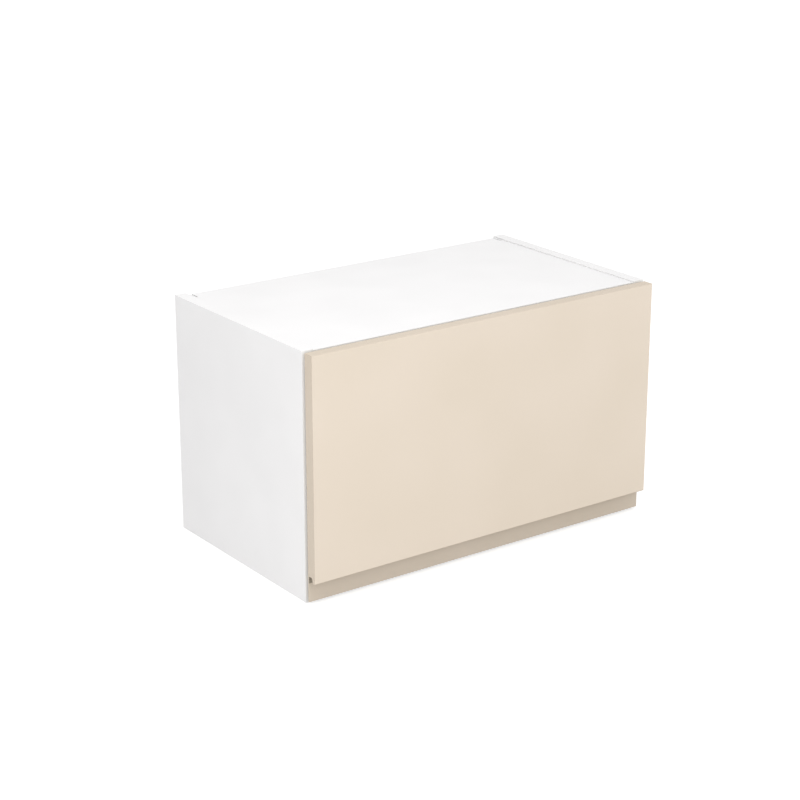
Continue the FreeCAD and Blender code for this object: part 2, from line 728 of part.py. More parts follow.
def rivet(name, spot):
    """A rivet through a link and a lever, with a head on each outer face."""
    inner_head = rod(name + "_inner_head", ("Places.rivet_start", *spot),
                     "Sizes.rivet_head_radius", "Sizes.rivet_head_thickness")
    shank = rod(name + "_shank", ("Places.rivet_start", *spot), "Sizes.rivet_radius",
                "Places.lever_end - Places.rivet_start")
    outer_head = rod(name + "_outer_head", ("Places.lever_end", *spot),
                     "Sizes.rivet_head_radius", "Sizes.rivet_head_thickness")
    return join(name, [inner_head, shank, outer_head])


def levers():
    """Main lever on the cam's shaft and guide lever on a fixed pin, parallel to each other."""
    body = new_body("main_lever", "Places.lever_start")
    sketch = new_sketch(body, "main_lever_outline")
    strap(sketch, MAIN_PIVOT, FAR_MAIN, "Sizes.lever_hub_radius", "Sizes.lever_tip_radius")
    circle(sketch, MAIN_PIVOT, "Places.shaft_end_bore")
    circle(sketch, NEAR_MAIN, "Places.rivet_bore")
    circle(sketch, FAR_MAIN, "Places.rivet_bore")
    pad(body, sketch, "Sizes.lever_thickness")
    keep_pair("main_lever", body)

    body = new_body("guide_lever", "Places.lever_start")
    sketch = new_sketch(body, "guide_lever_outline")
    strap(sketch, GUIDE_PIVOT, NEAR_GUIDE, "Sizes.lever_hub_radius", "Sizes.lever_tip_radius")
    circle(sketch, GUIDE_PIVOT, "Places.guide_bore")
    circle(sketch, NEAR_GUIDE, "Places.rivet_bore")
    pad(body, sketch, "Sizes.lever_thickness")
    keep_pair("guide_lever", body)


def links():
    """Two links that stay parallel to the base line and carry the door bracket."""
    body = new_body("upper_link", "Places.link_start")
    sketch = new_sketch(body, "upper_link_outline")
    strap(sketch, NEAR_DOOR, NEAR_GUIDE, "Sizes.link_radius", "Sizes.link_radius")
    for spot in (NEAR_DOOR, NEAR_MAIN, NEAR_GUIDE):
        circle(sketch, spot, "Places.link_bore")
    pad(body, sketch, "Sizes.link_thickness")
    keep_pair("upper_link", body)

    body = new_body("lower_link", "Places.link_start")
    sketch = new_sketch(body, "lower_link_outline")
    strap(sketch, FAR_DOOR, FAR_MAIN, "Sizes.link_radius", "Sizes.link_radius")
    for spot in (FAR_DOOR, FAR_MAIN):
        circle(sketch, spot, "Places.link_bore")
    pad(body, sketch, "Sizes.link_thickness")
    keep_pair("lower_link", body)


def rivets():
    """The five rivets of one linkage, in a sub-part for each piece that they are fixed to."""
    for name, spots in (("main_lever_rivets", (NEAR_MAIN, FAR_MAIN)),
                        ("door_bracket_rivets", (NEAR_DOOR, FAR_DOOR))):
        pair = doc.addObject("Part::Compound", name)
        pair.Links = [rivet(name[:-1], spot) for spot in spots]
        keep_pair(name, pair)
    keep_pair("guide_lever_rivet", rivet("guide_lever_rivet", NEAR_GUIDE))


# ---------------------------------------------------------------- lift unit: housing

place("fixing_end", "Places.inner_face - Sizes.fixing_depth + Sizes.fixing_tip_gap")
place("shaft_start", "Places.inner_face + Sizes.side_play")
place("guide_boss_length", "Sizes.housing_depth - Sizes.housing_floor - Sizes.side_play")
place("guide_pin_start", "Places.inner_face + Sizes.housing_floor")


def lift_housing():
    """Open box for cam and spring, with fixing lugs, a bearing and a boss for the guide pin."""
    body = new_body("housing", "Places.inner_face")
    sketch = new_sketch(body, "housing_outline")
    polygon(sketch, HOUSING_OUTLINE)
    feature = pad(body, sketch, "Sizes.housing_depth")
    round_corners(body, feature, HOUSING_OUTLINE, "Sizes.housing_corner")
    sketch = new_sketch(body, "housing_lugs")
    polygon(sketch, LUG_OUTLINE)
    feature = pad(body, sketch, "Sizes.lug_thickness")
    round_corners(body, feature, LUG_OUTLINE, "Sizes.housing_corner")
    sketch = new_sketch(body, "housing_cavity", "Sizes.housing_depth")
    polygon(sketch, CAVITY_OUTLINE)
    feature = pocket(body, sketch, "Sizes.housing_depth - Sizes.housing_floor")
    round_corners(body, feature, CAVITY_OUTLINE, "Sizes.housing_corner - Sizes.housing_wall")
    sketch = new_sketch(body, "guide_boss", "Sizes.housing_floor")
    circle(sketch, GUIDE_PIVOT, "Sizes.guide_boss_radius")
    pad(body, sketch, "Places.guide_boss_length")
    sketch = new_sketch(body, "housing_holes", "Sizes.housing_depth")
    circle(sketch, MAIN_PIVOT, "Places.shaft_bore")
    circle(sketch, GUIDE_PIVOT, "Places.guide_seat_bore")
    for spot in FIXINGS:
        circle(sketch, spot, "Places.fixing_bore")
    pocket(body, sketch, "Sizes.housing_depth")
    hole = rod("adjuster_hole",
               ("Places.spring_x", "Places.main_pivot_y", "Places.housing_bottom"),
               "Sizes.adjuster_radius + Sizes.running_clearance", "Sizes.housing_wall", Z_AXIS)
    keep_pair("lift_housing", cut("lift_housing", body, [hole]))


def lift_cover():
    """Cap over the housing, with holes for the cam's shaft and the guide pin."""
    body = new_body("cover", "Places.inner_face + Sizes.housing_depth")
    sketch = new_sketch(body, "cover_outline")
    polygon(sketch, HOUSING_OUTLINE)
    circle(sketch, MAIN_PIVOT, "Places.cover_shaft_bore")
    circle(sketch, GUIDE_PIVOT, "Places.cover_collar_bore")
    feature = pad(body, sketch, "Sizes.cover_thickness")
    round_corners(body, feature, HOUSING_OUTLINE, "Sizes.housing_corner")
    keep_pair("lift_cover", body)


def guide_pin():
    """Fixed pin of the guide lever, with a collar behind the lever and a head before it."""
    spot = GUIDE_PIVOT
    shank = rod("guide_pin_shank", ("Places.guide_pin_start", *spot), "Sizes.guide_pin_radius",
                "Places.lever_end + Sizes.side_play - Places.guide_pin_start")
    collar_start = "(Places.inner_face + Sizes.housing_depth)"
    collar = rod("guide_pin_collar", (collar_start, *spot), "Sizes.guide_collar_radius",
                 f"Places.lever_start - Sizes.side_play - {collar_start}")
    head = rod("guide_pin_head", ("Places.lever_end + Sizes.side_play", *spot),
               "Sizes.rivet_head_radius", "Sizes.rivet_head_thickness")
    keep_pair("guide_pin", join("guide_pin", [shank, collar, head]))


def fixing_screws():
    """Screws that hold the housings to the side panels."""
    solids = []
    for spot, seat in zip(FIXINGS, ("Sizes.housing_floor", "Sizes.lug_thickness",
                                    "Sizes.lug_thickness")):
        shank = rod("fixing_shank", ("Places.fixing_end", *spot), "Sizes.fixing_radius",
                    f"Places.inner_face + {seat} - Places.fixing_end")
        head = rod("fixing_head", (f"Places.inner_face + {seat}", *spot),
                   "Sizes.fixing_head_radius", "Sizes.fixing_head_thickness")
        solids.append(join("fixing_screw", [shank, head]))
    keep_group("lift_fixing_screws", solids)


# ---------------------------------------------------------------- lift unit: drive

CAM_STEPS = 12


def cam_point(angle):
    """A point of the cam's working face, at an angle from straight down towards the back.

    The roller's centre runs on a spiral whose distance from the shaft falls evenly with the
    angle, so the carriage rises evenly as the door opens. The face lies one roller radius and
    a small gap inside that spiral.
    """
    distance = SIZES["cam_start_distance"] - SIZES["cam_fall"] * angle
    outward = Vector(math.sin(angle), -math.cos(angle), 0)
    onward = Vector(math.cos(angle), math.sin(angle), 0)
    normal = outward * distance + onward * SIZES["cam_fall"]
    normal.normalize()
    inset = SIZES["roller_radius"] + SIZES["cam_gap"]
    flat = outward * distance - normal * inset
    return Vector(0, flat.x, flat.y)


def cam_shaft():
    """Shaft with its cam, from the bearing in the housing to the riveted end in the lever."""
    overrun = math.radians(SIZES["cam_overrun"])
    sweep = math.radians(SIZES["opening_angle"]) + 2 * overrun
    angles = [sweep * i / CAM_STEPS - overrun for i in range(CAM_STEPS + 1)]
    curve = Part.BSplineCurve()
    curve.interpolate([cam_point(angle) for angle in angles])
    centre = Vector(0, 0, 0)
    edges = [curve.toShape(), Part.makeLine(curve.EndPoint, centre),
             Part.makeLine(centre, curve.StartPoint)]
    face = Part.Face(Part.Wire(edges))
    along = Vector(1, 0, 0)
    inner = number("Places.inner_face")
    middle = number("Places.spring_x") - inner
    width = SIZES["cam_width"]
    lobe = face.extrude(along * width)
    lobe.translate(along * (middle - width / 2))
    hub = Part.makeCylinder(SIZES["cam_hub_radius"], width, along * (middle - width / 2), along)
    start = number("Places.shaft_start") - inner
    shoulder = number("Places.lever_start") - inner
    end = number("Places.lever_end") - inner
    shaft = Part.makeCylinder(SIZES["shaft_radius"], shoulder - start, along * start, along)
    neck = Part.makeCylinder(SIZES["shaft_end_radius"], end - shoulder, along * shoulder, along)
    head = Part.makeCylinder(SIZES["shaft_head_radius"], SIZES["rivet_head_thickness"],
                             along * end, along)
    solid = doc.addObject("Part::Feature", "cam_shaft")
    solid.Shape = lobe.fuse([hub, shaft, neck, head]).removeSplitter()
    solid.setExpression("Placement.Base.x", "Places.inner_face")
    solid.setExpression("Placement.Base.y", MAIN_PIVOT[0])
    solid.setExpression("Placement.Base.z", MAIN_PIVOT[1])
    keep_pair("cam_shaft", solid)


def spring_carriage():
    """Slide that the spring pushes up: a block with a spigot below and two cheeks above."""
    inside = "(Places.inner_face + Sizes.housing_floor + Sizes.carriage_play)"
    across = "(Sizes.housing_depth - Sizes.housing_floor - 2 * Sizes.carriage_play)"
    low_y = "Places.main_pivot_y - Sizes.carriage_width / 2"
    block = box("carriage_block", (inside, low_y, "Places.block_bottom"),
                (across, "Sizes.carriage_width", "Sizes.carriage_block"))
    parts = [block, rod("carriage_spigot",
                        ("Places.spring_x", "Places.main_pivot_y",
                         "Places.block_bottom - Sizes.spigot_length"),
                        "Sizes.spigot_radius", "Sizes.spigot_length", Z_AXIS)]
    cheek_width = "2 * Sizes.roller_radius"
    cheek_y = "Places.main_pivot_y - Sizes.roller_radius"
    cheek_height = "Places.roller_z + Sizes.roller_radius - Sizes.carriage_play - Places.block_top"
    for x in (inside, f"{inside} + {across} - Sizes.carriage_cheek"):
        parts.append(box("carriage_cheek", (x, cheek_y, "Places.block_top"),
                         ("Sizes.carriage_cheek", cheek_width, cheek_height)))
    hole = rod("roller_pin_hole", (inside, "Places.main_pivot_y", "Places.roller_z"),
               "Sizes.roller_pin_radius + Sizes.press_clearance", across)
    keep_pair("spring_carriage", cut("spring_carriage", join("carriage_blank", parts), [hole]))

    pin_solid = rod("roller_pin", (inside, "Places.main_pivot_y", "Places.roller_z"),
                    "Sizes.roller_pin_radius", across)
    keep_pair("roller_pin", pin_solid)
    width = f"({across} - 2 * Sizes.carriage_cheek - 2 * Sizes.carriage_play)"
    start = (f"{inside} + Sizes.carriage_cheek + Sizes.carriage_play", "Places.main_pivot_y",
             "Places.roller_z")
    roller = rod("roller_blank", start, "Sizes.roller_radius", width)
    bore = rod("roller_bore", start, "Sizes.roller_pin_radius + Sizes.running_clearance", width)
    keep_pair("cam_roller", cut("cam_roller", roller, [bore]))


def biarc(start, start_way, end, end_way):
    """Two arcs that join two points smoothly with the given directions at the ends."""
    run = end - start
    ways = start_way + end_way
    spread = 2 * (1 - start_way.dot(end_way))
    reach = (math.sqrt(run.dot(ways) ** 2 + spread * run.dot(run)) - run.dot(ways)) / spread
    first_corner = start + start_way * reach
    last_corner = end - end_way * reach
    middle = (first_corner + last_corner) / 2
    arcs = []
    for a, corner, b in ((start, first_corner, middle), (middle, last_corner, end)):
        weight = (b - a).Length / (2 * reach)
        crown = (a + b + corner * (2 * weight)) / (2 + 2 * weight)
        arcs.append(Part.Arc(a, crown, b).toShape())
    return arcs


def springs():
    """Compression spring wound as one bar of rectangular wire, from its seat to the carriage.

    The wire's sides stay upright, so its two ends lie flat against the seat and the carriage.
    """
    radius = SIZES["spring_radius"]
    half_width = SIZES["spring_wire_width"] / 2
    half_height = SIZES["spring_wire_height"] / 2
    turns = SIZES["spring_turns"]
    low = half_height + SIZES["spring_end_gap"]
    rise = SIZES["spring_length"] - 2 * low
    slope = rise / (2 * math.pi * turns * radius)

    def spot(turn):
        angle = 2 * math.pi * turn
        return Vector(radius * math.cos(angle), radius * math.sin(angle), low + rise * turn / turns)

    def way(turn):
        angle = 2 * math.pi * turn
        heading = Vector(-math.sin(angle), math.cos(angle), slope)
        return heading.normalize()

    edges = []
    steps = round(2 * turns)
    for i in range(steps):
        first, last = turns * i / steps, turns * (i + 1) / steps
        edges += biarc(spot(first), way(first), spot(last), way(last))
    corners = [spot(0) + Vector(half_width * across, 0, half_height * up)
               for across, up in ((1, 1), (-1, 1), (-1, -1), (1, -1), (1, 1))]
    shell = Part.BRepOffsetAPI.MakePipeShell(Part.Wire(edges))
    shell.setBiNormalMode(Vector(0, 0, 1))
    shell.add(Part.makePolygon(corners), False, False)
    shell.build()
    shell.makeSolid()
    gap = rise / turns - 2 * half_height
    print(f"spring: {turns} turns, least gap to itself {gap:.2f} mm")
    solid = doc.addObject("Part::Feature", "lift_spring")
    solid.Shape = shell.shape()
    solid.setExpression("Placement.Base.x", "Places.spring_x")
    solid.setExpression("Placement.Base.y", "Places.main_pivot_y")
    solid.setExpression("Placement.Base.z", "Places.seat_top")
    keep_pair("lift_spring", solid)


def spring_seats():
    """Lower spring seat, and the screw that raises it to suit the weight of the door."""
    centre = ("Places.spring_x", "Places.main_pivot_y")
    side = "(Sizes.housing_depth - Sizes.housing_floor - 2 * Sizes.carriage_play)"
    seat = box("seat_block", ("Places.inner_face + Sizes.housing_floor + Sizes.carriage_play",
                              "Places.main_pivot_y - Sizes.carriage_width / 2",
                              "Places.seat_bottom"),
               (side, "Sizes.carriage_width", "Sizes.seat_thickness"))
    spigot = rod("seat_spigot", (*centre, "Places.seat_top"), "Sizes.spigot_radius",
                 "Sizes.spigot_length", Z_AXIS)
    hole = rod("seat_hole", (*centre, "Places.seat_bottom"),
               "Sizes.adjuster_radius + Sizes.press_clearance",
               "Sizes.seat_thickness + Sizes.spigot_length", Z_AXIS)
    keep_pair("spring_seat", cut("spring_seat", join("seat_blank", [seat, spigot]), [hole]))

    shank = rod("adjuster_shank", (*centre, "Places.housing_bottom"), "Sizes.adjuster_radius",
                "Places.seat_top + Sizes.spigot_length - Places.housing_bottom", Z_AXIS)
    head = rod("adjuster_head",
               (*centre, "Places.housing_bottom - Sizes.adjuster_head_thickness"),
               "Sizes.adjuster_head_radius", "Sizes.adjuster_head_thickness", Z_AXIS)
    keep_pair("spring_adjuster", join("spring_adjuster", [shank, head]))


# ---------------------------------------------------------------- wall hangers

place("hook_x", "Places.inner_face + Sizes.hook_start")
place("hook_top", "Sizes.height - Sizes.hook_top_gap")
place("hook_root", "Places.hanger_front + Sizes.hanger_length / 3")
place("hook_low", "Places.hanger_bottom + Sizes.hanger_height / 4")
place("arm_rear", "Places.back_front + Sizes.back_thickness + Sizes.hook_tip")
place("finger_front", "Places.arm_rear + Sizes.hook_throat")
place("finger_rear", "Places.finger_front + Sizes.hook_tip")
HOOK_OUTLINE = [
    point("hook_a", "Places.hook_root", "Places.hook_low"),
    point("hook_b", "Places.hook_root", "Places.hanger_top - Sizes.hook_tip"),
    point("hook_c", "Places.back_front + Sizes.hook_play",
          "Places.hanger_top - Sizes.hook_tip"),
    point("hook_d", "Places.back_front + Sizes.hook_play", "Places.hook_top"),
    point("hook_e", "Places.finger_rear", "Places.hook_top"),
    point("hook_f", "Places.finger_rear", "Places.hook_top - Sizes.hook_finger_drop"),
    point("hook_g", "Places.finger_front", "Places.hook_top - Sizes.hook_finger_drop"),
    point("hook_h", "Places.finger_front", "Places.hook_top - Sizes.hook_tip"),
    point("hook_i", "Places.arm_rear", "Places.hook_top - Sizes.hook_tip"),
    point("hook_j", "Places.arm_rear", "Places.hook_low"),
]
place("hanger_screw_x", "Places.inner_face + (Sizes.hook_start + Sizes.hook_thickness"
      " + Sizes.hanger_width) / 2")
place("hanger_screw_upper", "Places.hanger_top - Sizes.hanger_height / 4")
place("hanger_screw_lower", "Places.hanger_bottom + Sizes.hanger_height / 4")
HANGER_SCREWS = [(("Places.hanger_screw_x", "Places.hanger_front"), z)
                 for z in ("Places.hanger_screw_upper", "Places.hanger_screw_lower")]


def wall_hangers():
    """Hanger in each rear corner: a moulded case on the side panel that holds a steel hook."""
    case = box("hanger_case", ("Places.inner_face", "Places.hanger_front",
                               "Places.hanger_bottom"),
               ("Sizes.hanger_width", "Sizes.hanger_length", "Sizes.hanger_height"))
    case = rounded("hanger_case_rounded", case, "Sizes.hanger_corner",
                   lambda edge: lies_at(edge, Vector(1, 0, 0), y=number("Places.hanger_front"))
                   or lies_at(edge, Vector(0, 0, 1),
                              x=number("Places.inner_face") + SIZES["hanger_width"],
                              y=number("Places.hanger_front")))
    pegs = [rod("hanger_peg", ("Places.peg_start", *spot), "Sizes.peg_radius",
                "Sizes.peg_depth") for spot in PEGS]
    slot = box("hanger_slot", ("Places.hook_x - Sizes.hook_play",
                               "Places.hook_root - Sizes.hook_play",
                               "Places.hook_low - Sizes.hook_play"),
               ("Sizes.hook_thickness + 2 * Sizes.hook_play",
                "Places.back_front - Places.hook_root + Sizes.hook_play",
                "Places.hanger_top - Sizes.hook_tip - Places.hook_low + 2 * Sizes.hook_play"))
    tools = [slot]
    for (x, y), z in HANGER_SCREWS:
        tools.append(rod("hanger_screw_hole", (x, y, z),
                         "Sizes.hanger_screw_radius + Sizes.press_clearance",
                         "Sizes.hanger_screw_length", Y_AXIS))
    keep_pair("hanger_case", cut("hanger_case", join("hanger_blank", [case, *pegs]), tools))

    body = new_body("hanger_hook", "Places.hook_x")
    sketch = new_sketch(body, "hanger_hook_outline")
    polygon(sketch, HOOK_OUTLINE)
    feature = pad(body, sketch, "Sizes.hook_thickness")
    round_corners(body, feature, [HOOK_OUTLINE[3], HOOK_OUTLINE[4]], "Sizes.hanger_corner")
    keep_pair("hanger_hook", body)

    solids = []
    for (x, y), z in HANGER_SCREWS:
        shank = rod("hanger_screw_shank", (x, y, z), "Sizes.hanger_screw_radius",
                    "Sizes.hanger_screw_length", Y_AXIS)
        head = rod("hanger_screw_head", (x, f"{y} - Sizes.hanger_screw_head", z),
                   "Sizes.hanger_screw_head_radius", "Sizes.hanger_screw_head", Y_AXIS)
        solids.append(join("hanger_screw", [shank, head]))
    keep_group("hanger_adjusting_screws", solids)


# ---------------------------------------------------------------- build, check and write

def check():
    """Stops if any object failed or any sub-part is missing or not valid."""
    doc.recompute()
    for item in doc.Objects:
        if "Invalid" in item.State or "Error" in item.State:
            raise RuntimeError(f"{item.Label} did not recompute: {item.State}")
    for label, solid in nodes.items():
        if solid.Shape.isNull() or not solid.Shape.isValid() or not solid.Shape.Solids:
            raise RuntimeError(f"{label} has no valid shape")


def write():
    """Writes one file for each sub-part."""
    os.makedirs("parts", exist_ok=True)
    for label, solid in nodes.items():
        solid.Shape.exportStep(f"parts/{label}.step")
    pieces = sum(len(solid.Shape.Solids) for solid in nodes.values())
    print(f"{len(nodes)} sub-parts with {pieces} solids")


side_panels()
top_panel()
bottom_panel()
back_panel()
carcass_dowels()
door_panel()
door_buffers()
door_bracket()
bracket_screws()
levers()
links()
rivets()
lift_housing()
lift_cover()
guide_pin()
fixing_screws()
cam_shaft()
spring_carriage()
springs()
spring_seats()
wall_hangers()
check()
write()
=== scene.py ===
import json
import math

import bpy
from mathutils import Matrix, Vector

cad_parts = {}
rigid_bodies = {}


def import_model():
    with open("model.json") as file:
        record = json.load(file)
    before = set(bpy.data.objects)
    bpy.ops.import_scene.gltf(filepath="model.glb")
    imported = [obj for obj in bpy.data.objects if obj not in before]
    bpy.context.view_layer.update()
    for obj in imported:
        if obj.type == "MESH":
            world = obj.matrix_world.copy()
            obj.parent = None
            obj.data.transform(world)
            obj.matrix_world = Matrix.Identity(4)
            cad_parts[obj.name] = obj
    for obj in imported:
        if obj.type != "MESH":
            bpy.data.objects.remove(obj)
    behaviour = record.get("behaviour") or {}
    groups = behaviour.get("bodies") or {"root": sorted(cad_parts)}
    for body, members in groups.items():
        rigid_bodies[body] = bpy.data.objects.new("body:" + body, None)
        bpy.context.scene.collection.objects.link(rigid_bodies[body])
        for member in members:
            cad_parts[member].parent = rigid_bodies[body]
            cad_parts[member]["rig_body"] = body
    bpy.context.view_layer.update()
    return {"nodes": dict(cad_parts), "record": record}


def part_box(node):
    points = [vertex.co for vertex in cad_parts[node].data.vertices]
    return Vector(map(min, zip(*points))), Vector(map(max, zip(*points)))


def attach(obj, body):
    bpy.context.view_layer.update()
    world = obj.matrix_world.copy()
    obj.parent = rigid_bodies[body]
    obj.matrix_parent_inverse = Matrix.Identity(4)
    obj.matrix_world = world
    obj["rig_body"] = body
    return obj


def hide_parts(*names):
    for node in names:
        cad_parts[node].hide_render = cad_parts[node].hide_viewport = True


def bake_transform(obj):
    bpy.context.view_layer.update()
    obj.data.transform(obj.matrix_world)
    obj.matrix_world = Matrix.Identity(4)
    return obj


# Lift-up wall cabinet: white melamine carcass, cream door with a finger groove, sprung lift units.
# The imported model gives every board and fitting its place. This script softens their edges, adds
# the small shapes of screws, rivets, coils and mouldings, and finishes every surface.

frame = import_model()
NODES = frame["nodes"]
MM = 0.001

# ---------------------------------------------------------------- camera and studio

CAMERA_PLACE = (-1.6699, -2.2678, 1.1558)
CAMERA_AZIMUTH = -35.884
CAMERA_ELEVATION = 18.939
CAMERA_LENS_MM = 90.85
SENSOR_MM = 36.0
FLOOR_SIZE = 60.0
LAMPS = {
    "key_lamp": {"place": (-1.5, -1.5, 0.4), "size": 0.8, "watts": 7.0},
    "fill_lamp": {"place": (1.2, -1.2, 0.5), "size": 0.7, "watts": 3.0},
    "side_lamp": {"place": (-1.6, -0.3, 0.4), "size": 0.8, "watts": 0.8},
    "top_lamp": {"place": (-0.5, -0.6, 1.4), "size": 0.8, "watts": 4.4},
}
SKY_STRENGTH = 0.843
FLOOR_LIFT = 0.6
AIM = Vector((0.0, 0.0, 0.18))


def make_camera():
    """The photograph's viewpoint: left of the cabinet's front and a little above it."""
    bpy.ops.object.camera_add(location=CAMERA_PLACE)
    camera = bpy.context.object
    camera.name = "studio_camera"
    camera.rotation_euler = (math.radians(90 - CAMERA_ELEVATION), 0, math.radians(CAMERA_AZIMUTH))
    camera.data.lens = CAMERA_LENS_MM
    camera.data.sensor_width = SENSOR_MM
    camera.data.clip_end = 2 * FLOOR_SIZE
    bpy.context.scene.camera = camera


def make_lamp(name, lamp):
    """A soft square lamp that faces the cabinet."""
    bpy.ops.object.light_add(type="AREA", location=lamp["place"])
    light = bpy.context.object
    light.name = name
    light.data.size = lamp["size"]
    light.data.energy = lamp["watts"]
    light.rotation_mode = "QUATERNION"
    light.rotation_quaternion = (AIM - light.location).to_track_quat("-Z", "Y")


# ---------------------------------------------------------------- nodes of a material

def linear(hex_colour):
    """An sRGB hex colour as linear red, green, blue and alpha."""
    parts = [int(hex_colour[i:i + 2], 16) / 255 for i in (1, 3, 5)]
    return [p / 12.92 if p <= 0.04045 else ((p + 0.055) / 1.055) ** 2.4 for p in parts] + [1.0]


def add_node(tree, kind, settings=None, inputs=None):
    """Adds a shader node; an input given as a socket is linked, and otherwise set."""
    node = tree.nodes.new(kind)
    for name, value in (settings or {}).items():
        setattr(node, name, value)
    for name, value in (inputs or {}).items():
        if isinstance(value, bpy.types.NodeSocket):
            tree.links.new(value, node.inputs[name])
        else:
            node.inputs[name].default_value = value
    return node


def new_material(name, colour, roughness, **sockets):
    """A material with its even values on the shader's own sockets."""
    material = bpy.data.materials.new(name)
    material.use_nodes = True
    shader = material.node_tree.nodes["Principled BSDF"]
    shader.inputs["Base Color"].default_value = linear(colour)
    shader.inputs["Roughness"].default_value = roughness
    for socket, value in sockets.items():
        shader.inputs[socket.replace("_", " ")].default_value = value
    return material, material.node_tree, shader


def object_place(tree, stretch=(1, 1, 1)):
    """Object coordinates in metres, stretched along chosen axes."""
    coordinates = add_node(tree, "ShaderNodeTexCoord")
    mapping = add_node(tree, "ShaderNodeMapping",
                       inputs={"Vector": coordinates.outputs["Object"], "Scale": stretch})
    return mapping.outputs["Vector"]


def noise(tree, vector, feature_mm, detail=2.0, roughness=0.5):
    """Noise whose features are about the given size on the real surface."""
    return add_node(tree, "ShaderNodeTexNoise", inputs={
        "Vector": vector, "Scale": 1 / (feature_mm * MM), "Detail": detail,
        "Roughness": roughness}).outputs["Fac"]


def spread(tree, value, low, high, start=0.3, end=0.7):
    """The value's middle range spread between two numbers."""
    return add_node(tree, "ShaderNodeMapRange", inputs={
        "Value": value, "From Min": start, "From Max": end,
        "To Min": low, "To Max": high}).outputs["Result"]


def blend_colours(tree, share, first, second):
    """A mix of two hex colours by a share."""
    mix = add_node(tree, "ShaderNodeMix", {"data_type": "RGBA"}, {0: share})
    mix.inputs[6].default_value = linear(first)
    mix.inputs[7].default_value = linear(second)
    return mix.outputs[2]


def bump(tree, shader, height, depth_mm, strength=1.0):
    """Surface relief of a real depth."""
    node = add_node(tree, "ShaderNodeBump", inputs={
        "Height": height, "Distance": depth_mm * MM, "Strength": strength})
    tree.links.new(node.outputs["Normal"], shader.inputs["Normal"])


# ---------------------------------------------------------------- finishes

def white_melamine():
    """Melamine-faced chipboard, hot pressed against a finely etched plate: matt and even.

    The etching is 0.3 mm wide and is drawn at 1.6 mm, the finest that shows.
    """
    material, tree, shader = new_material("white_melamine", "#F4F3F3", 0.5)
    place = object_place(tree)
    etching = noise(tree, place, 1.6, 3.0)
    clouds = noise(tree, place, 90.0, 1.0)
    tree.links.new(blend_colours(tree, spread(tree, clouds, 0, 1), "#F5F4F4", "#F2F1F1"),
                   shader.inputs["Base Color"])
    tree.links.new(spread(tree, etching, 0.44, 0.56), shader.inputs["Roughness"])
    bump(tree, shader, etching, 0.012)
    return material


def white_edging():
    """ABS edging tape, extruded and buffed: a little smoother than the faces.

    The buffing marks run upwards; they are 0.1 mm wide and are drawn at 0.8 mm.
    """
    material, tree, shader = new_material("white_abs_edging", "#F3F3F2", 0.36)
    buffing = noise(tree, object_place(tree, (1, 1, 0.05)), 0.8, 2.0)
    tree.links.new(spread(tree, buffing, 0.3, 0.42), shader.inputs["Roughness"])
    bump(tree, shader, buffing, 0.006)
    return material


def raw_chipboard():
    """Sawn chipboard edge, unedged at the back: pale wood chips 2.6 mm wide, pressed flat."""
    material, tree, shader = new_material("sawn_chipboard", "#C9A877", 0.85)
    place = object_place(tree)
    chips_per_metre = 1 / (2.6 * MM)
    chips = add_node(tree, "ShaderNodeTexVoronoi", inputs={
        "Vector": place, "Scale": chips_per_metre, "Randomness": 1.0})
    chip_share = add_node(tree, "ShaderNodeSeparateColor",
                          inputs={"Color": chips.outputs["Color"]}).outputs["Red"]
    tree.links.new(blend_colours(tree, chip_share, "#BDA27A", "#DFCBA6"),
                   shader.inputs["Base Color"])
    gaps = add_node(tree, "ShaderNodeTexVoronoi", {"feature": "DISTANCE_TO_EDGE"},
                    {"Vector": place, "Scale": chips_per_metre})
    bump(tree, shader, spread(tree, gaps.outputs["Distance"], 0, 1, 0.0, 0.12), 0.15)
    return material


def cream_foil(name, bright, dull):
    """Super-matt foil pressed on MDF: silky, with the faint orange peel of the board below.

    The peel is about 1 mm wide and is drawn at 2.2 mm, the finest that shows.
    """
    material, tree, shader = new_material(name, bright, 0.6, Specular_IOR_Level=0.22)
    place = object_place(tree)
    peel = noise(tree, place, 2.2, 2.0)
    clouds = noise(tree, place, 140.0, 1.0)
    tree.links.new(blend_colours(tree, spread(tree, clouds, 0, 1), bright, dull),
                   shader.inputs["Base Color"])
    tree.links.new(spread(tree, peel, 0.54, 0.66), shader.inputs["Roughness"])
    bump(tree, shader, peel, 0.02)
    return material


def plated_steel(name, bright, dull, streak, roughness=0.3):
    """Plated pressed steel: a clean metal sheen with fine rolling marks along one axis.

    The marks are 0.1 mm wide and are drawn at 0.9 mm, the finest that shows.
    """
    material, tree, shader = new_material(name, bright, roughness, Metallic=1.0)
    marks = noise(tree, object_place(tree, streak), 0.9, 4.0, 0.6)
    clouds = noise(tree, object_place(tree), 14.0, 2.0)
    tree.links.new(blend_colours(tree, spread(tree, clouds, 0, 1), bright, dull),
                   shader.inputs["Base Color"])
    tree.links.new(spread(tree, marks, roughness - 0.07, roughness + 0.1),
                   shader.inputs["Roughness"])
    bump(tree, shader, marks, 0.008)
    return material


def nickel_plated_steel():
    """Nickel-plated pressed steel of the levers, links and brackets, warm and softly bright."""
    return plated_steel("nickel_plated_steel", "#C9C5BE", "#BBB7B0", (1, 1, 0.08), 0.32)


def turned_nickel_steel():
    """Nickel-plated turned steel of rivets and shafts, with turning marks round the axis."""
    return plated_steel("turned_nickel_steel", "#CFCCC7", "#B9B6B1", (0.1, 1, 1), 0.26)


def zinc_plated_screw():
    """Bright zinc-plated screws: bluish white and a little uneven."""
    return plated_steel("bright_zinc_screw", "#D3D6DA", "#B4B8BE", (1, 1, 1), 0.28)


def zinc_plated_steel():
    """Zinc-plated steel of the hanger hooks, passivated pale and matt, with a faint spangle."""
    return plated_steel("pale_zinc_plated_steel", "#F5F5F5", "#EAEBEC", (1, 0.4, 1), 0.5)


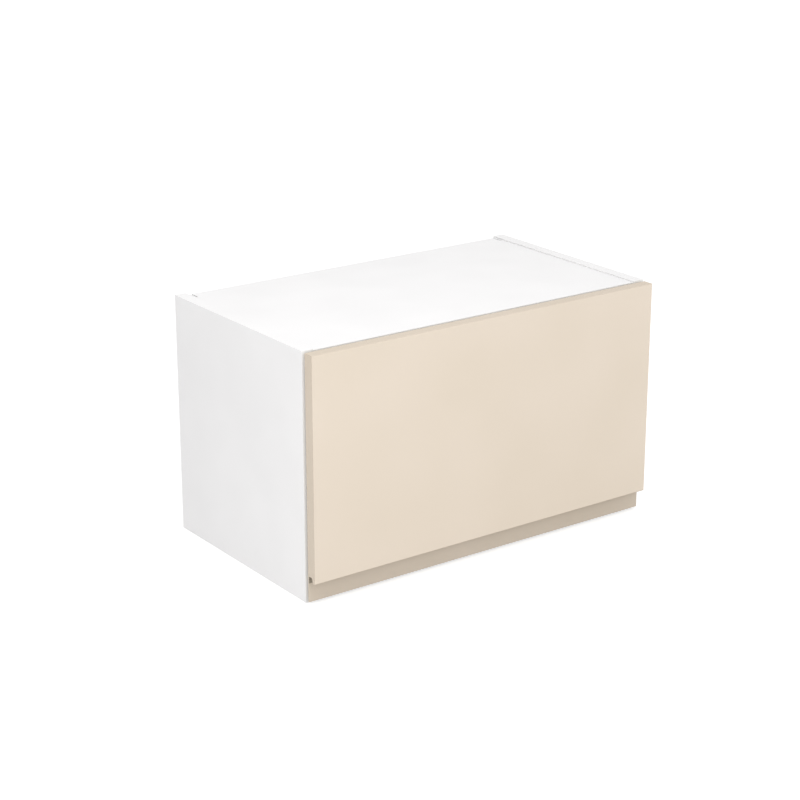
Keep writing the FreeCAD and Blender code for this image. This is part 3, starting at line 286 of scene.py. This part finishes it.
def spring_steel():
    """Oil-hardened spring wire, blued nearly black by the bath, with drawing marks."""
    return plated_steel("oil_hardened_spring_steel", "#56585C", "#44454A", (1, 1, 0.3), 0.34)


def moulded_plastic(name, colour, shade, roughness, grain_mm, depth_mm):
    """Injection-moulded plastic with the spark-eroded grain of its mould, drawn coarse to show."""
    material, tree, shader = new_material(name, colour, roughness)
    place = object_place(tree)
    grain = noise(tree, place, grain_mm, 3.0)
    flow = noise(tree, place, 30.0, 1.0)
    tree.links.new(blend_colours(tree, spread(tree, flow, 0, 1), colour, shade),
                   shader.inputs["Base Color"])
    tree.links.new(spread(tree, grain, roughness - 0.06, roughness + 0.06),
                   shader.inputs["Roughness"])
    bump(tree, shader, grain, depth_mm)
    return material


def grey_nylon():
    """Glass-filled nylon of the lift housings: light grey, dry and slightly fibrous."""
    return moulded_plastic("grey_glass_filled_nylon", "#B9BABB", "#AFB0B2", 0.52, 0.9, 0.02)


def white_abs():
    """White ABS of covers and hanger cases, from a mould with a fine satin grain."""
    return moulded_plastic("white_satin_abs", "#EFEFED", "#EAEAE8", 0.42, 0.7, 0.012)


def natural_acetal():
    """Natural acetal of rollers and slides: milky, waxy and smooth."""
    material = moulded_plastic("natural_acetal", "#E9E8E2", "#E2E1DA", 0.3, 1.2, 0.004)
    shader = material.node_tree.nodes["Principled BSDF"]
    shader.inputs["Subsurface Weight"].default_value = 0.15
    shader.inputs["Subsurface Radius"].default_value = (0.002, 0.002, 0.0018)
    return material


def clear_polyurethane():
    """Clear soft polyurethane of the bumpers: see-through with a slight haze."""
    material, tree, shader = new_material("clear_polyurethane", "#F4F6F6", 0.12, IOR=1.49)
    shader.inputs["Transmission Weight"].default_value = 0.9
    haze = noise(tree, object_place(tree), 0.8, 2.0)
    tree.links.new(spread(tree, haze, 0.1, 0.2), shader.inputs["Roughness"])
    return material


def turned_beech():
    """Beech dowel rod: pinkish straw with short dark flecks along the grain."""
    material, tree, shader = new_material("fluted_beech", "#D8B88C", 0.6)
    grain = noise(tree, object_place(tree, (0.12, 1, 1)), 1.1, 4.0, 0.6)
    tree.links.new(blend_colours(tree, spread(tree, grain, 0, 1, 0.35, 0.65),
                                 "#E0C398", "#C59E6E"), shader.inputs["Base Color"])
    bump(tree, shader, grain, 0.05)
    return material


def studio_floor():
    """Matt white paper. The camera sees it lifted to white, and it keeps the cabinet's shadow."""
    material, tree, shader = new_material("white_paper", "#CFCFCF", 0.9)
    shader.inputs["Specular IOR Level"].default_value = 0.0
    rays = add_node(tree, "ShaderNodeLightPath")
    seen = add_node(tree, "ShaderNodeMath", {"operation": "MULTIPLY"},
                    {0: rays.outputs["Is Camera Ray"], 1: FLOOR_LIFT})
    mirrored = add_node(tree, "ShaderNodeMath", {"operation": "MULTIPLY"},
                        {0: rays.outputs["Is Glossy Ray"], 1: FLOOR_LIFT / 2})
    total = add_node(tree, "ShaderNodeMath", {"operation": "ADD"},
                     {0: seen.outputs[0], 1: mirrored.outputs[0]})
    glow = add_node(tree, "ShaderNodeEmission", inputs={"Strength": total.outputs[0]})
    both = add_node(tree, "ShaderNodeAddShader")
    tree.links.new(shader.outputs["BSDF"], both.inputs[0])
    tree.links.new(glow.outputs["Emission"], both.inputs[1])
    tree.links.new(both.outputs["Shader"], tree.nodes["Material Output"].inputs["Surface"])
    return material


def make_studio():
    """Floor, even sky light and four soft lamps."""
    bpy.ops.mesh.primitive_plane_add(size=FLOOR_SIZE)
    floor = bpy.context.object
    floor.name = "studio_floor"
    floor.data.materials.append(studio_floor())
    world = bpy.data.worlds.new("studio_sky")
    bpy.context.scene.world = world
    world.use_nodes = True
    tree = world.node_tree
    sky = tree.nodes["Background"]
    sky.inputs["Color"].default_value = linear("#FFFFFF")
    sky.inputs["Strength"].default_value = SKY_STRENGTH
    seen = add_node(tree, "ShaderNodeBackground", inputs={"Color": linear("#FFFFFF")})
    rays = add_node(tree, "ShaderNodeLightPath")
    either = add_node(tree, "ShaderNodeMath", {"operation": "MAXIMUM"},
                      {0: rays.outputs["Is Camera Ray"], 1: rays.outputs["Is Glossy Ray"]})
    mix = add_node(tree, "ShaderNodeMixShader", inputs={"Fac": either.outputs[0]})
    tree.links.new(sky.outputs["Background"], mix.inputs[1])
    tree.links.new(seen.outputs["Background"], mix.inputs[2])
    tree.links.new(mix.outputs["Shader"], tree.nodes["World Output"].inputs["Surface"])
    for name, lamp in LAMPS.items():
        make_lamp(name, lamp)


FINISHES = {
    "white_board": white_melamine(),
    "white_back": white_melamine(),
    "beech": turned_beech(),
    "door_finish": cream_foil("cream_matt_foil", "#E8DBCB", "#E5D8C7"),
    "clear_buffer": clear_polyurethane(),
    "zinc_screw": zinc_plated_screw(),
    "housing_grey": grey_nylon(),
    "cover_white": white_abs(),
    "nickel_steel": nickel_plated_steel(),
    "rivet_steel": turned_nickel_steel(),
    "spring_steel": spring_steel(),
    "acetal": natural_acetal(),
    "zinc_steel": zinc_plated_steel(),
}
EDGING = white_edging()
CHIPBOARD = raw_chipboard()
# Painted shade: the front's cream foil darkened to about 0.84 for every door face but the front
# (edges, top, lip and back), standing in for the shade these faces get.
DOOR_EDGE_SHADED_FOIL = cream_foil("cream_foil_painted_edge_shade", "#D7CABA", "#D4C7B6")
# Painted shade: a much darker copy of the cream foil in the finger groove and on a band of the lip
# just under the nose, standing in for the shade that falls there.
DOOR_GROOVE_PAINTED_SHADE = cream_foil("cream_foil_painted_groove_shade", "#9F9586", "#9B9182")
SLOT_OF = {s["node"]: s["material_slot"] for s in frame["record"]["subparts"]}

for name, node in NODES.items():
    node.data.materials.clear()
    node.data.materials.append(FINISHES[SLOT_OF[name]])


# ---------------------------------------------------------------- ways to shape a piece

MERGE = 1e-6
SLIVER = 0.01 * MM
SAME_PLANE = 0.02 * MM
FACING = 0.999
FLAT_ANGLE = math.radians(1.0)
CREASE_ANGLE = math.radians(35.0)
INWARD = {"left": Vector((1, 0, 0)), "right": Vector((-1, 0, 0))}


def activate(piece):
    """Selects one piece alone and makes it the active one."""
    bpy.ops.object.select_all(action="DESELECT")
    piece.select_set(True)
    bpy.context.view_layer.objects.active = piece


def apply_modifier(piece, kind, **settings):
    modifier = piece.modifiers.new(kind.lower(), kind)
    for name, value in settings.items():
        setattr(modifier, name, value)
    activate(piece)
    bpy.ops.object.modifier_apply(modifier=modifier.name)


def merged_copy(node, name):
    """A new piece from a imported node's mesh, its triangles merged into whole faces."""
    piece = bpy.data.objects.new(name, NODES[node].data.copy())
    bpy.context.scene.collection.objects.link(piece)
    activate(piece)
    bpy.ops.mesh.customdata_custom_splitnormals_clear()
    bpy.ops.object.mode_set(mode="EDIT")
    bpy.ops.mesh.select_all(action="SELECT")
    bpy.ops.mesh.remove_doubles(threshold=MERGE)
    bpy.ops.mesh.dissolve_limited(angle_limit=FLAT_ANGLE)
    bpy.ops.object.mode_set(mode="OBJECT")
    return piece


def edit_chosen(piece, kind, elements, wanted):
    """Opens a piece for editing with the faces or corners that a test picks out selected."""
    activate(piece)
    bpy.ops.object.mode_set(mode="EDIT")
    bpy.ops.mesh.select_mode(type=kind)
    bpy.ops.mesh.select_all(action="DESELECT")
    bpy.ops.object.mode_set(mode="OBJECT")
    for element in elements:
        element.select = wanted(element)
    bpy.ops.object.mode_set(mode="EDIT")


def edit_faces(piece, wanted):
    edit_chosen(piece, "FACE", piece.data.polygons, wanted)


def outermost(piece, way):
    """A test for the flat faces that lie furthest out in one direction."""
    far = max(way.dot(corner.co) for corner in piece.data.vertices)
    return lambda face: (face.normal.dot(way) > FACING
                         and way.dot(face.center) > far - SAME_PLANE)


def refill_flat(piece):
    """Replaces the flat faces being edited by new ones that keep within their outline."""
    bpy.ops.mesh.delete(type="FACE")
    bpy.ops.mesh.select_mode(type="EDGE")
    bpy.ops.mesh.select_non_manifold(extend=False, use_wire=False, use_boundary=True,
                                     use_multi_face=False, use_non_contiguous=False,
                                     use_verts=False)
    bpy.ops.mesh.fill()
    bpy.ops.object.mode_set(mode="OBJECT")
    inner = {face.index for face in piece.data.polygons if face.select}
    edit_faces(piece, lambda face: True)
    bpy.ops.mesh.normals_make_consistent(inside=False)
    bpy.ops.object.mode_set(mode="OBJECT")
    edit_faces(piece, lambda face: face.index in inner)
    bpy.ops.mesh.dissolve_limited(angle_limit=FLAT_ANGLE)


def press_panel(piece, way, margin_mm, depth_mm, slope_mm=0.3):
    """Sinks the outermost face inside an even margin, as a coined or moulded panel."""
    edit_faces(piece, outermost(piece, way))
    bpy.ops.mesh.inset(thickness=margin_mm * MM)
    refill_flat(piece)
    bpy.ops.mesh.inset(thickness=slope_mm * MM, depth=-depth_mm * MM)
    bpy.ops.object.mode_set(mode="OBJECT")


def bevel(piece, width_mm, segments=2):
    apply_modifier(piece, "BEVEL", width=width_mm * MM, segments=segments,
                   limit_method="ANGLE", angle_limit=CREASE_ANGLE, use_clamp_overlap=True)


def carve(piece, cutter):
    """Cuts one solid out of another and removes the cutter."""
    apply_modifier(piece, "BOOLEAN", object=cutter, operation="DIFFERENCE", solver="EXACT")
    bpy.data.objects.remove(cutter)


def cut_block(piece, low, high):
    """Cuts a square-edged block out of a piece."""
    bpy.ops.mesh.primitive_cube_add(size=1, location=(low + high) / 2)
    block = bpy.context.object
    block.scale = high - low
    bpy.ops.object.transform_apply(location=True, scale=True)
    carve(piece, block)


def paint(piece, material, wanted):
    """Gives the faces that a test picks out another finish."""
    piece.data.materials.append(material)
    index = len(piece.data.materials) - 1
    for face in piece.data.polygons:
        if wanted(face):
            face.material_index = index


def finish_piece(piece, node):
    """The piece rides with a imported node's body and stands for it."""
    activate(piece)
    bpy.ops.object.mode_set(mode="EDIT")
    bpy.ops.mesh.select_all(action="SELECT")
    bpy.ops.mesh.dissolve_degenerate(threshold=SLIVER)
    bpy.ops.object.mode_set(mode="OBJECT")
    bpy.ops.object.shade_smooth_by_angle(angle=CREASE_ANGLE)
    apply_modifier(piece, "WEIGHTED_NORMAL", keep_sharp=True)
    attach(piece, NODES[node]["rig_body"])
    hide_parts(node)
    return piece


def joined(pieces, name):
    """Joins pieces into one."""
    bpy.ops.object.select_all(action="DESELECT")
    for piece in pieces:
        piece.select_set(True)
    bpy.context.view_layer.objects.active = pieces[0]
    if len(pieces) > 1:
        bpy.ops.object.join()
    pieces[0].name = name
    return pieces[0]


def loose_boxes(node):
    """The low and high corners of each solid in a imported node."""
    merged_copy(node, "loose_solids")
    bpy.ops.object.mode_set(mode="EDIT")
    bpy.ops.mesh.select_all(action="SELECT")
    bpy.ops.mesh.separate(type="LOOSE")
    bpy.ops.object.mode_set(mode="OBJECT")
    boxes = []
    for part in list(bpy.context.selected_objects):
        corners = [vertex.co for vertex in part.data.vertices]
        boxes.append(tuple(Vector(pick(c[i] for c in corners) for i in range(3))
                           for pick in (min, max)))
        bpy.data.objects.remove(part)
    return sorted(boxes, key=lambda box: tuple(box[0]))


def set_along(pattern, spot, way, name):
    """A copy of a pattern piece, stood at a spot with its own upward axis along a direction."""
    mesh = pattern.data.copy()
    mesh.transform(Matrix.Translation(spot) @ way.to_track_quat("Z", "Y").to_matrix().to_4x4())
    piece = bpy.data.objects.new(name, mesh)
    bpy.context.scene.collection.objects.link(piece)
    return piece


# ---------------------------------------------------------------- boards and door

EDGING_MM = 0.8
BOARD_ROUND_MM, EDGING_ROUND_MM, DOOR_ROUND_MM, BACK_ROUND_MM = 0.25, 0.3, 0.35, 0.2
DOWEL_CHAMFER_MM = 0.8
JOINT_LINE_MM = 1.1
JOINT_DEPTH_MM = 4.0
REAR_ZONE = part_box("back_panel")[0].y
REAR_FACING = 0.9
# Heights between which the groove and lip take the painted groove shade; the low one lies below
# the nose, so a band of the lip is shaded too.
SHADE_BAND_LOW, SHADE_BAND_HIGH = 31.0 * MM, 45.0 * MM
GROOVE_WALL = 2 * MM
DOOR_SKIN = 0.1 * MM
FRONT_FACING = 0.98


def edged_board(node):
    """A board with edging glued to its front edge and bare chipboard at its rear."""
    low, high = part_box(node)
    board = merged_copy(node, node + "_board")
    if node == "top_panel":
        for end, way in ((low.x, 1), (high.x, -1)):
            joint = sorted((end - way * MM, end + way * JOINT_LINE_MM * MM))
            cut_block(board, Vector((joint[0], low.y - MM, high.z - JOINT_DEPTH_MM * MM)),
                      Vector((joint[1], high.y + MM, high.z + MM)))
    strip = bpy.data.objects.new(node + "_edging", board.data.copy())
    bpy.context.scene.collection.objects.link(strip)
    for piece, clear in ((board, "clear_inner"), (strip, "clear_outer")):
        activate(piece)
        bpy.ops.object.mode_set(mode="EDIT")
        bpy.ops.mesh.select_all(action="SELECT")
        bpy.ops.mesh.bisect(plane_co=(0, low.y + EDGING_MM * MM, 0), plane_no=(0, 1, 0),
                            use_fill=True, threshold=MERGE, **{clear: True})
        bpy.ops.object.mode_set(mode="OBJECT")
    bevel(board, BOARD_ROUND_MM)
    bevel(strip, EDGING_ROUND_MM, 3)
    paint(board, CHIPBOARD,
          lambda face: face.center.y > REAR_ZONE and face.normal.y > REAR_FACING)
    strip.data.materials.clear()
    strip.data.materials.append(EDGING)
    return finish_piece(joined([board, strip], node + "_edged"), node)


def make_door():
    """The door: its front in bright foil; its edges, top, lip and back in the same foil darkened
    as painted shade; its groove, and a band of the lip just under the nose, in a much darker copy
    as painted shade.

    The lip behind the nose is one tall face, so it is parted where the painted groove shade ends,
    31 mm up, below the nose.
    """
    piece = merged_copy("door_panel", "door_panel_foiled")
    bevel(piece, DOOR_ROUND_MM)
    low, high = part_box("door_panel")
    groove_front, groove_back = low.y + GROOVE_WALL, high.y - GROOVE_WALL
    edit_faces(piece, lambda face: (face.normal.y < -FRONT_FACING
                                    and face.center.y > groove_front))
    bpy.ops.mesh.bisect(plane_co=(0, 0, SHADE_BAND_LOW), plane_no=(0, 0, 1), threshold=MERGE)
    bpy.ops.object.mode_set(mode="OBJECT")
    # Painted shade: every face but the front skin takes the darkened copy of the front foil.
    paint(piece, DOOR_EDGE_SHADED_FOIL, lambda face: (face.normal.y > -FRONT_FACING
                                          or face.center.y > low.y + DOOR_SKIN))
    # Painted shade: the groove's faces and the lip band between the two heights take the dark copy
    # of the foil.
    paint(piece, DOOR_GROOVE_PAINTED_SHADE, lambda face: (SHADE_BAND_LOW < face.center.z < SHADE_BAND_HIGH
                                            and groove_front < face.center.y < groove_back
                                            and abs(face.normal.x) < 0.5))
    finish_piece(piece, "door_panel")


def make_back():
    """The back, a thin board with a crisp edge."""
    piece = merged_copy("back_panel", "back_panel_soft")
    bevel(piece, BACK_ROUND_MM)
    finish_piece(piece, "back_panel")


def make_dowels():
    """Beech dowels with chamfered ends."""
    piece = merged_copy("carcass_dowels", "carcass_dowels_chamfered")
    bevel(piece, DOWEL_CHAMFER_MM, 1)
    finish_piece(piece, "carcass_dowels")


# ---------------------------------------------------------------- screws, buffers and rivets

# Shank radius, head radius and head height of each kind of screw.
SCREWS_MM = {
    "bracket_screws": (2.0, 3.8, 1.8),
    "lift_fixing_screws": (3.0, 4.6, 2.2),
    "hanger_adjusting_screws": (2.9, 4.2, 2.0),
}
# Shares of the head's height and radius.
HEAD_ROUNDING = 0.55
RECESS_SPAN, RECESS_WIDTH, RECESS_DEPTH, RECESS_TAPER = 1.15, 0.24, 1.4, 0.45
# Shares of the shank's radius, and of the thread's pitch for its foot and crest.
CORE_TIP, CORE_ROOT = 0.35, 0.8
PITCH, THREAD_DEPTH, THREAD_MIDDLE = 0.8, 0.5, 0.75
THREAD_FOOT, THREAD_CREST = 0.45, 0.2
THREAD_STEPS = 14
SAME_LENGTH = 0.05 * MM
# Shares of a bumper's height and radius, and the rounding of its edges.
BUMPER_RIM, BUMPER_SLOPE, BUMPER_ROUND_MM = 0.45, 0.35, 0.3
# Margin, depth and slope of the hollow in a rivet's head, and the rounding of its edges.
RIVET_HOLLOW_MM = (2.1, 0.4, 0.7)
RIVET_ROUND_MM = 0.35


def screw_head(radius, height):
    """A pan head that stands on zero, with a tapered cross recess."""
    bpy.ops.mesh.primitive_cylinder_add(vertices=40, radius=radius, depth=height,
                                        location=(0, 0, height / 2))
    head = bpy.context.object
    bpy.ops.object.transform_apply(location=True)
    edit_faces(head, outermost(head, Vector((0, 0, 1))))
    bpy.ops.mesh.bevel(offset=HEAD_ROUNDING * height, segments=4, affect="EDGES")
    bpy.ops.object.mode_set(mode="OBJECT")
    for turn in (45, 135):
        bpy.ops.mesh.primitive_cube_add(size=1, location=(0, 0, height))
        blade = bpy.context.object
        blade.scale = (RECESS_SPAN * radius, RECESS_WIDTH * radius, RECESS_DEPTH * height)
        blade.rotation_euler.z = math.radians(turn)
        bpy.ops.object.transform_apply(location=True, rotation=True, scale=True)
        edit_faces(blade, outermost(blade, Vector((0, 0, -1))))
        bpy.ops.transform.resize(value=(RECESS_TAPER, RECESS_TAPER, 1),
                                 center_override=(0, 0, 0))
        bpy.ops.object.mode_set(mode="OBJECT")
        carve(head, blade)
    return head


def screw_shank(radius, length):
    """A tapered core below zero, wound round with a thread."""
    bpy.ops.mesh.primitive_cone_add(vertices=24, radius1=CORE_TIP * radius,
                                    radius2=CORE_ROOT * radius, depth=length,
                                    location=(0, 0, -length / 2))
    core = bpy.context.object
    bpy.ops.object.transform_apply(location=True)
    pitch = PITCH * radius
    middle, start = THREAD_MIDDLE * radius, pitch - length
    bpy.ops.mesh.primitive_plane_add(size=1)
    thread = bpy.context.object
    thread.scale = (THREAD_DEPTH * radius, THREAD_FOOT * pitch, 1)
    bpy.ops.object.transform_apply(scale=True)
    edit_faces(thread, lambda face: True)
    bpy.ops.transform.rotate(value=math.radians(90), orient_axis="X", center_override=(0, 0, 0))
    bpy.ops.transform.translate(value=(middle, 0, start))
    bpy.ops.object.mode_set(mode="OBJECT")
    edit_chosen(thread, "VERT", thread.data.vertices, lambda corner: corner.co.x > middle)
    bpy.ops.transform.resize(value=(1, 1, THREAD_CREST), center_override=(middle, 0, start))
    bpy.ops.object.mode_set(mode="OBJECT")
    turns = max(1, int((length - 2 * pitch) / pitch))
    apply_modifier(thread, "SCREW", axis="Z", angle=2 * math.pi * turns,
                   screw_offset=pitch * turns, steps=THREAD_STEPS * turns,
                   render_steps=THREAD_STEPS * turns, use_merge_vertices=True)
    return [core, thread]


def make_screws(node, way_of):
    """Stands a modelled screw in the place of each plain one of a node."""
    shank_radius, head_radius, head_height = (size * MM for size in SCREWS_MM[node])
    pieces = []
    pattern, pattern_length = None, 0
    for low, high in loose_boxes(node):
        middle = (low + high) / 2
        way = way_of(middle)
        span = abs((high - low).dot(way))
        length = span - head_height
        if pattern is None or abs(pattern_length - length) > SAME_LENGTH:
            if pattern:
                bpy.data.objects.remove(pattern)
            head = screw_head(head_radius, head_height)
            pattern = joined([head] + screw_shank(shank_radius, length), "screw_pattern")
            pattern_length = length
        seat = middle + way * (span / 2 - head_height)
        pieces.append(set_along(pattern, seat, way, "screw"))
    bpy.data.objects.remove(pattern)
    piece = joined(pieces, node + "_cross_head")
    piece.data.materials.clear()
    piece.data.materials.append(FINISHES[SLOT_OF[node]])
    finish_piece(piece, node)


def make_buffers():
    """Clear domed bumpers stuck to the door's back."""
    boxes = loose_boxes("door_buffers")
    low, high = boxes[0]
    radius, height = (high.x - low.x) / 2, high.y - low.y
    rim = BUMPER_RIM * height
    bpy.ops.mesh.primitive_cylinder_add(vertices=48, radius=radius, depth=rim,
                                        location=(0, 0, rim / 2))
    dome = bpy.context.object
    bpy.ops.object.transform_apply(location=True)
    edit_faces(dome, outermost(dome, Vector((0, 0, 1))))
    bpy.ops.mesh.inset(thickness=BUMPER_SLOPE * radius, depth=height - rim)
    bpy.ops.object.mode_set(mode="OBJECT")
    bevel(dome, BUMPER_ROUND_MM, 3)
    pieces = [set_along(dome, Vector(((a.x + b.x) / 2, a.y, (a.z + b.z) / 2)),
                        Vector((0, 1, 0)), "buffer") for a, b in boxes]
    bpy.data.objects.remove(dome)
    piece = joined(pieces, "door_buffers_domed")
    piece.data.materials.clear()
    piece.data.materials.append(FINISHES["clear_buffer"])
    finish_piece(piece, "door_buffers")


def make_rivets(node, side):
    """Riveted heads: rounded rims and a punched hollow in the middle of the outer face."""
    piece = merged_copy(node, node + "_headed")
    press_panel(piece, INWARD[side], *RIVET_HOLLOW_MM)
    bevel(piece, RIVET_ROUND_MM, 3)
    finish_piece(piece, node)


# ---------------------------------------------------------------- lift units and hangers

# Margin and depth of each sunk panel.
PANELS_MM = {
    "lift_cover": (1.5, 0.5), "main_lever": (1.5, 0.4), "guide_lever": (1.5, 0.4),
    "hanger_case": (3.5, 0.6),
}
SIGN_SIZE_MM, SIGN_LINE_MM, SIGN_DEPTH_MM = 5.0, 1.0, 0.35
SIGN_STEP_MM, SIGN_HEIGHT_MM = 4.0, 8.0
# How far the edges of each fitting are rounded.
ROUND_MM = {
    "lift_housing": 0.4, "lift_cover": 0.4, "hanger_case": 0.4, "hanger_hook": 0.35,
    "main_lever": 0.3, "guide_lever": 0.3, "upper_link": 0.3, "lower_link": 0.3,
    "door_bracket": 0.3, "spring_carriage": 0.3, "spring_seat": 0.3, "cam_roller": 0.3,
    "roller_pin": 0.3, "cam_shaft": 0.25,
}
ADJUSTER_ROUND_MM = 0.4
ADJUSTER_SLOT_MM = (6.0, 1.2, 4.0)
WIRE_RADIUS_MM = 1.4
COIL_TURNS, CLOSED_TURNS, POINTS_PER_TURN = 8.5, 1.25, 20
RIVETED = ("main_lever_rivets", "guide_lever_rivet", "door_bracket_rivets", "guide_pin")


def engrave_signs(cover, side):
    """A plus and a minus cut into the cover above the adjuster."""
    low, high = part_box(side + "_spring_adjuster")
    middle = (low.y + high.y) / 2
    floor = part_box(side + "_lift_cover")[0].z + SIGN_HEIGHT_MM * MM
    outer = max(INWARD[side].dot(corner.co) for corner in cover.data.vertices)
    depth = (PANELS_MM["lift_cover"][1] + SIGN_DEPTH_MM) * MM
    span = sorted(INWARD[side].x * (outer + reach) for reach in (-depth, depth))
    for shift, bars in ((-SIGN_STEP_MM, ((1, 0),)), (SIGN_STEP_MM, ((1, 0), (0, 1)))):
        for across, up in bars:
            half_y, half_z = ((SIGN_SIZE_MM if along else SIGN_LINE_MM) * MM / 2
                              for along in (across, up))
            centre = middle + shift * MM
            cut_block(cover, Vector((span[0], centre - half_y, floor - half_z)),
                      Vector((span[1], centre + half_y, floor + half_z)))


def make_fitting(kind, side):
    """A fitting with soft edges and, where it is coined or moulded so, a sunk panel."""
    node = f"{side}_{kind}"
    piece = merged_copy(node, node + "_shaped")
    if kind in PANELS_MM:
        press_panel(piece, INWARD[side], *PANELS_MM[kind])
    bevel(piece, ROUND_MM[kind])
    if kind == "lift_cover":
        engrave_signs(piece, side)
    finish_piece(piece, node)


def make_adjuster(side):
    """Spring adjuster with a cross slot in its head, reached from below."""
    node = side + "_spring_adjuster"
    piece = merged_copy(node, node + "_slotted")
    bevel(piece, ADJUSTER_ROUND_MM)
    low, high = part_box(node)
    for turn in (0, 90):
        bpy.ops.mesh.primitive_cube_add(size=1, location=((low.x + high.x) / 2,
                                                          (low.y + high.y) / 2, low.z))
        blade = bpy.context.object
        blade.scale = Vector(ADJUSTER_SLOT_MM) * MM
        blade.rotation_euler.z = math.radians(turn)
        bpy.ops.object.transform_apply(location=True, rotation=True, scale=True)
        carve(piece, blade)
    finish_piece(piece, node)


def make_spring(side):
    """Coil of round wire with closed, ground ends."""
    node = side + "_lift_spring"
    low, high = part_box(node)
    centre = (low + high) / 2
    wire = WIRE_RADIUS_MM * MM
    coil_radius = (high.x - low.x) / 2 - wire
    height = high.z - low.z
    count = int(COIL_TURNS * POINTS_PER_TURN)
    path = bpy.data.curves.new("coil_path", "CURVE")
    path.dimensions = "3D"
    path.bevel_depth = wire
    path.bevel_resolution = 4
    path.use_fill_caps = True
    line = path.splines.new("POLY")
    line.points.add(count)
    lift = 2 * wire
    open_rise = (height - 2 * lift * CLOSED_TURNS) / (COIL_TURNS - 2 * CLOSED_TURNS)
    for i in range(count + 1):
        turn = COIL_TURNS * i / count
        if turn < CLOSED_TURNS:
            rise = lift * turn
        elif turn > COIL_TURNS - CLOSED_TURNS:
            rise = height - lift * (COIL_TURNS - turn)
        else:
            rise = lift * CLOSED_TURNS + open_rise * (turn - CLOSED_TURNS)
        angle = 2 * math.pi * turn
        line.points[i].co = (centre.x + coil_radius * math.cos(angle),
                             centre.y + coil_radius * math.sin(angle), low.z + rise, 1)
    coil = bpy.data.objects.new(node + "_coil", path)
    bpy.context.scene.collection.objects.link(coil)
    activate(coil)
    bpy.ops.object.convert(target="MESH")
    coil = bpy.context.object
    for level, clear in ((low.z, "clear_inner"), (high.z, "clear_outer")):
        bpy.ops.object.mode_set(mode="EDIT")
        bpy.ops.mesh.select_all(action="SELECT")
        bpy.ops.mesh.bisect(plane_co=(0, 0, level), plane_no=(0, 0, 1), use_fill=True,
                            threshold=MERGE, **{clear: True})
        bpy.ops.object.mode_set(mode="OBJECT")
    coil.data.materials.append(FINISHES["spring_steel"])
    bpy.ops.object.shade_smooth_by_angle(angle=CREASE_ANGLE)
    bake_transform(coil)
    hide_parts(node)


for board in ("left_side_panel", "right_side_panel", "top_panel", "bottom_panel"):
    edged_board(board)
make_door()
make_back()
make_dowels()
make_buffers()
make_screws("bracket_screws", lambda at: Vector((0, 1, 0)))
make_screws("lift_fixing_screws", lambda at: Vector((-1 if at.x > 0 else 1, 0, 0)))
make_screws("hanger_adjusting_screws", lambda at: Vector((0, -1, 0)))
for side in INWARD:
    for kind in ROUND_MM:
        make_fitting(kind, side)
    for kind in RIVETED:
        make_rivets(f"{side}_{kind}", side)
    make_adjuster(side)
    make_spring(side)

make_camera()
make_studio()
bpy.context.scene.view_settings.view_transform = "Standard"
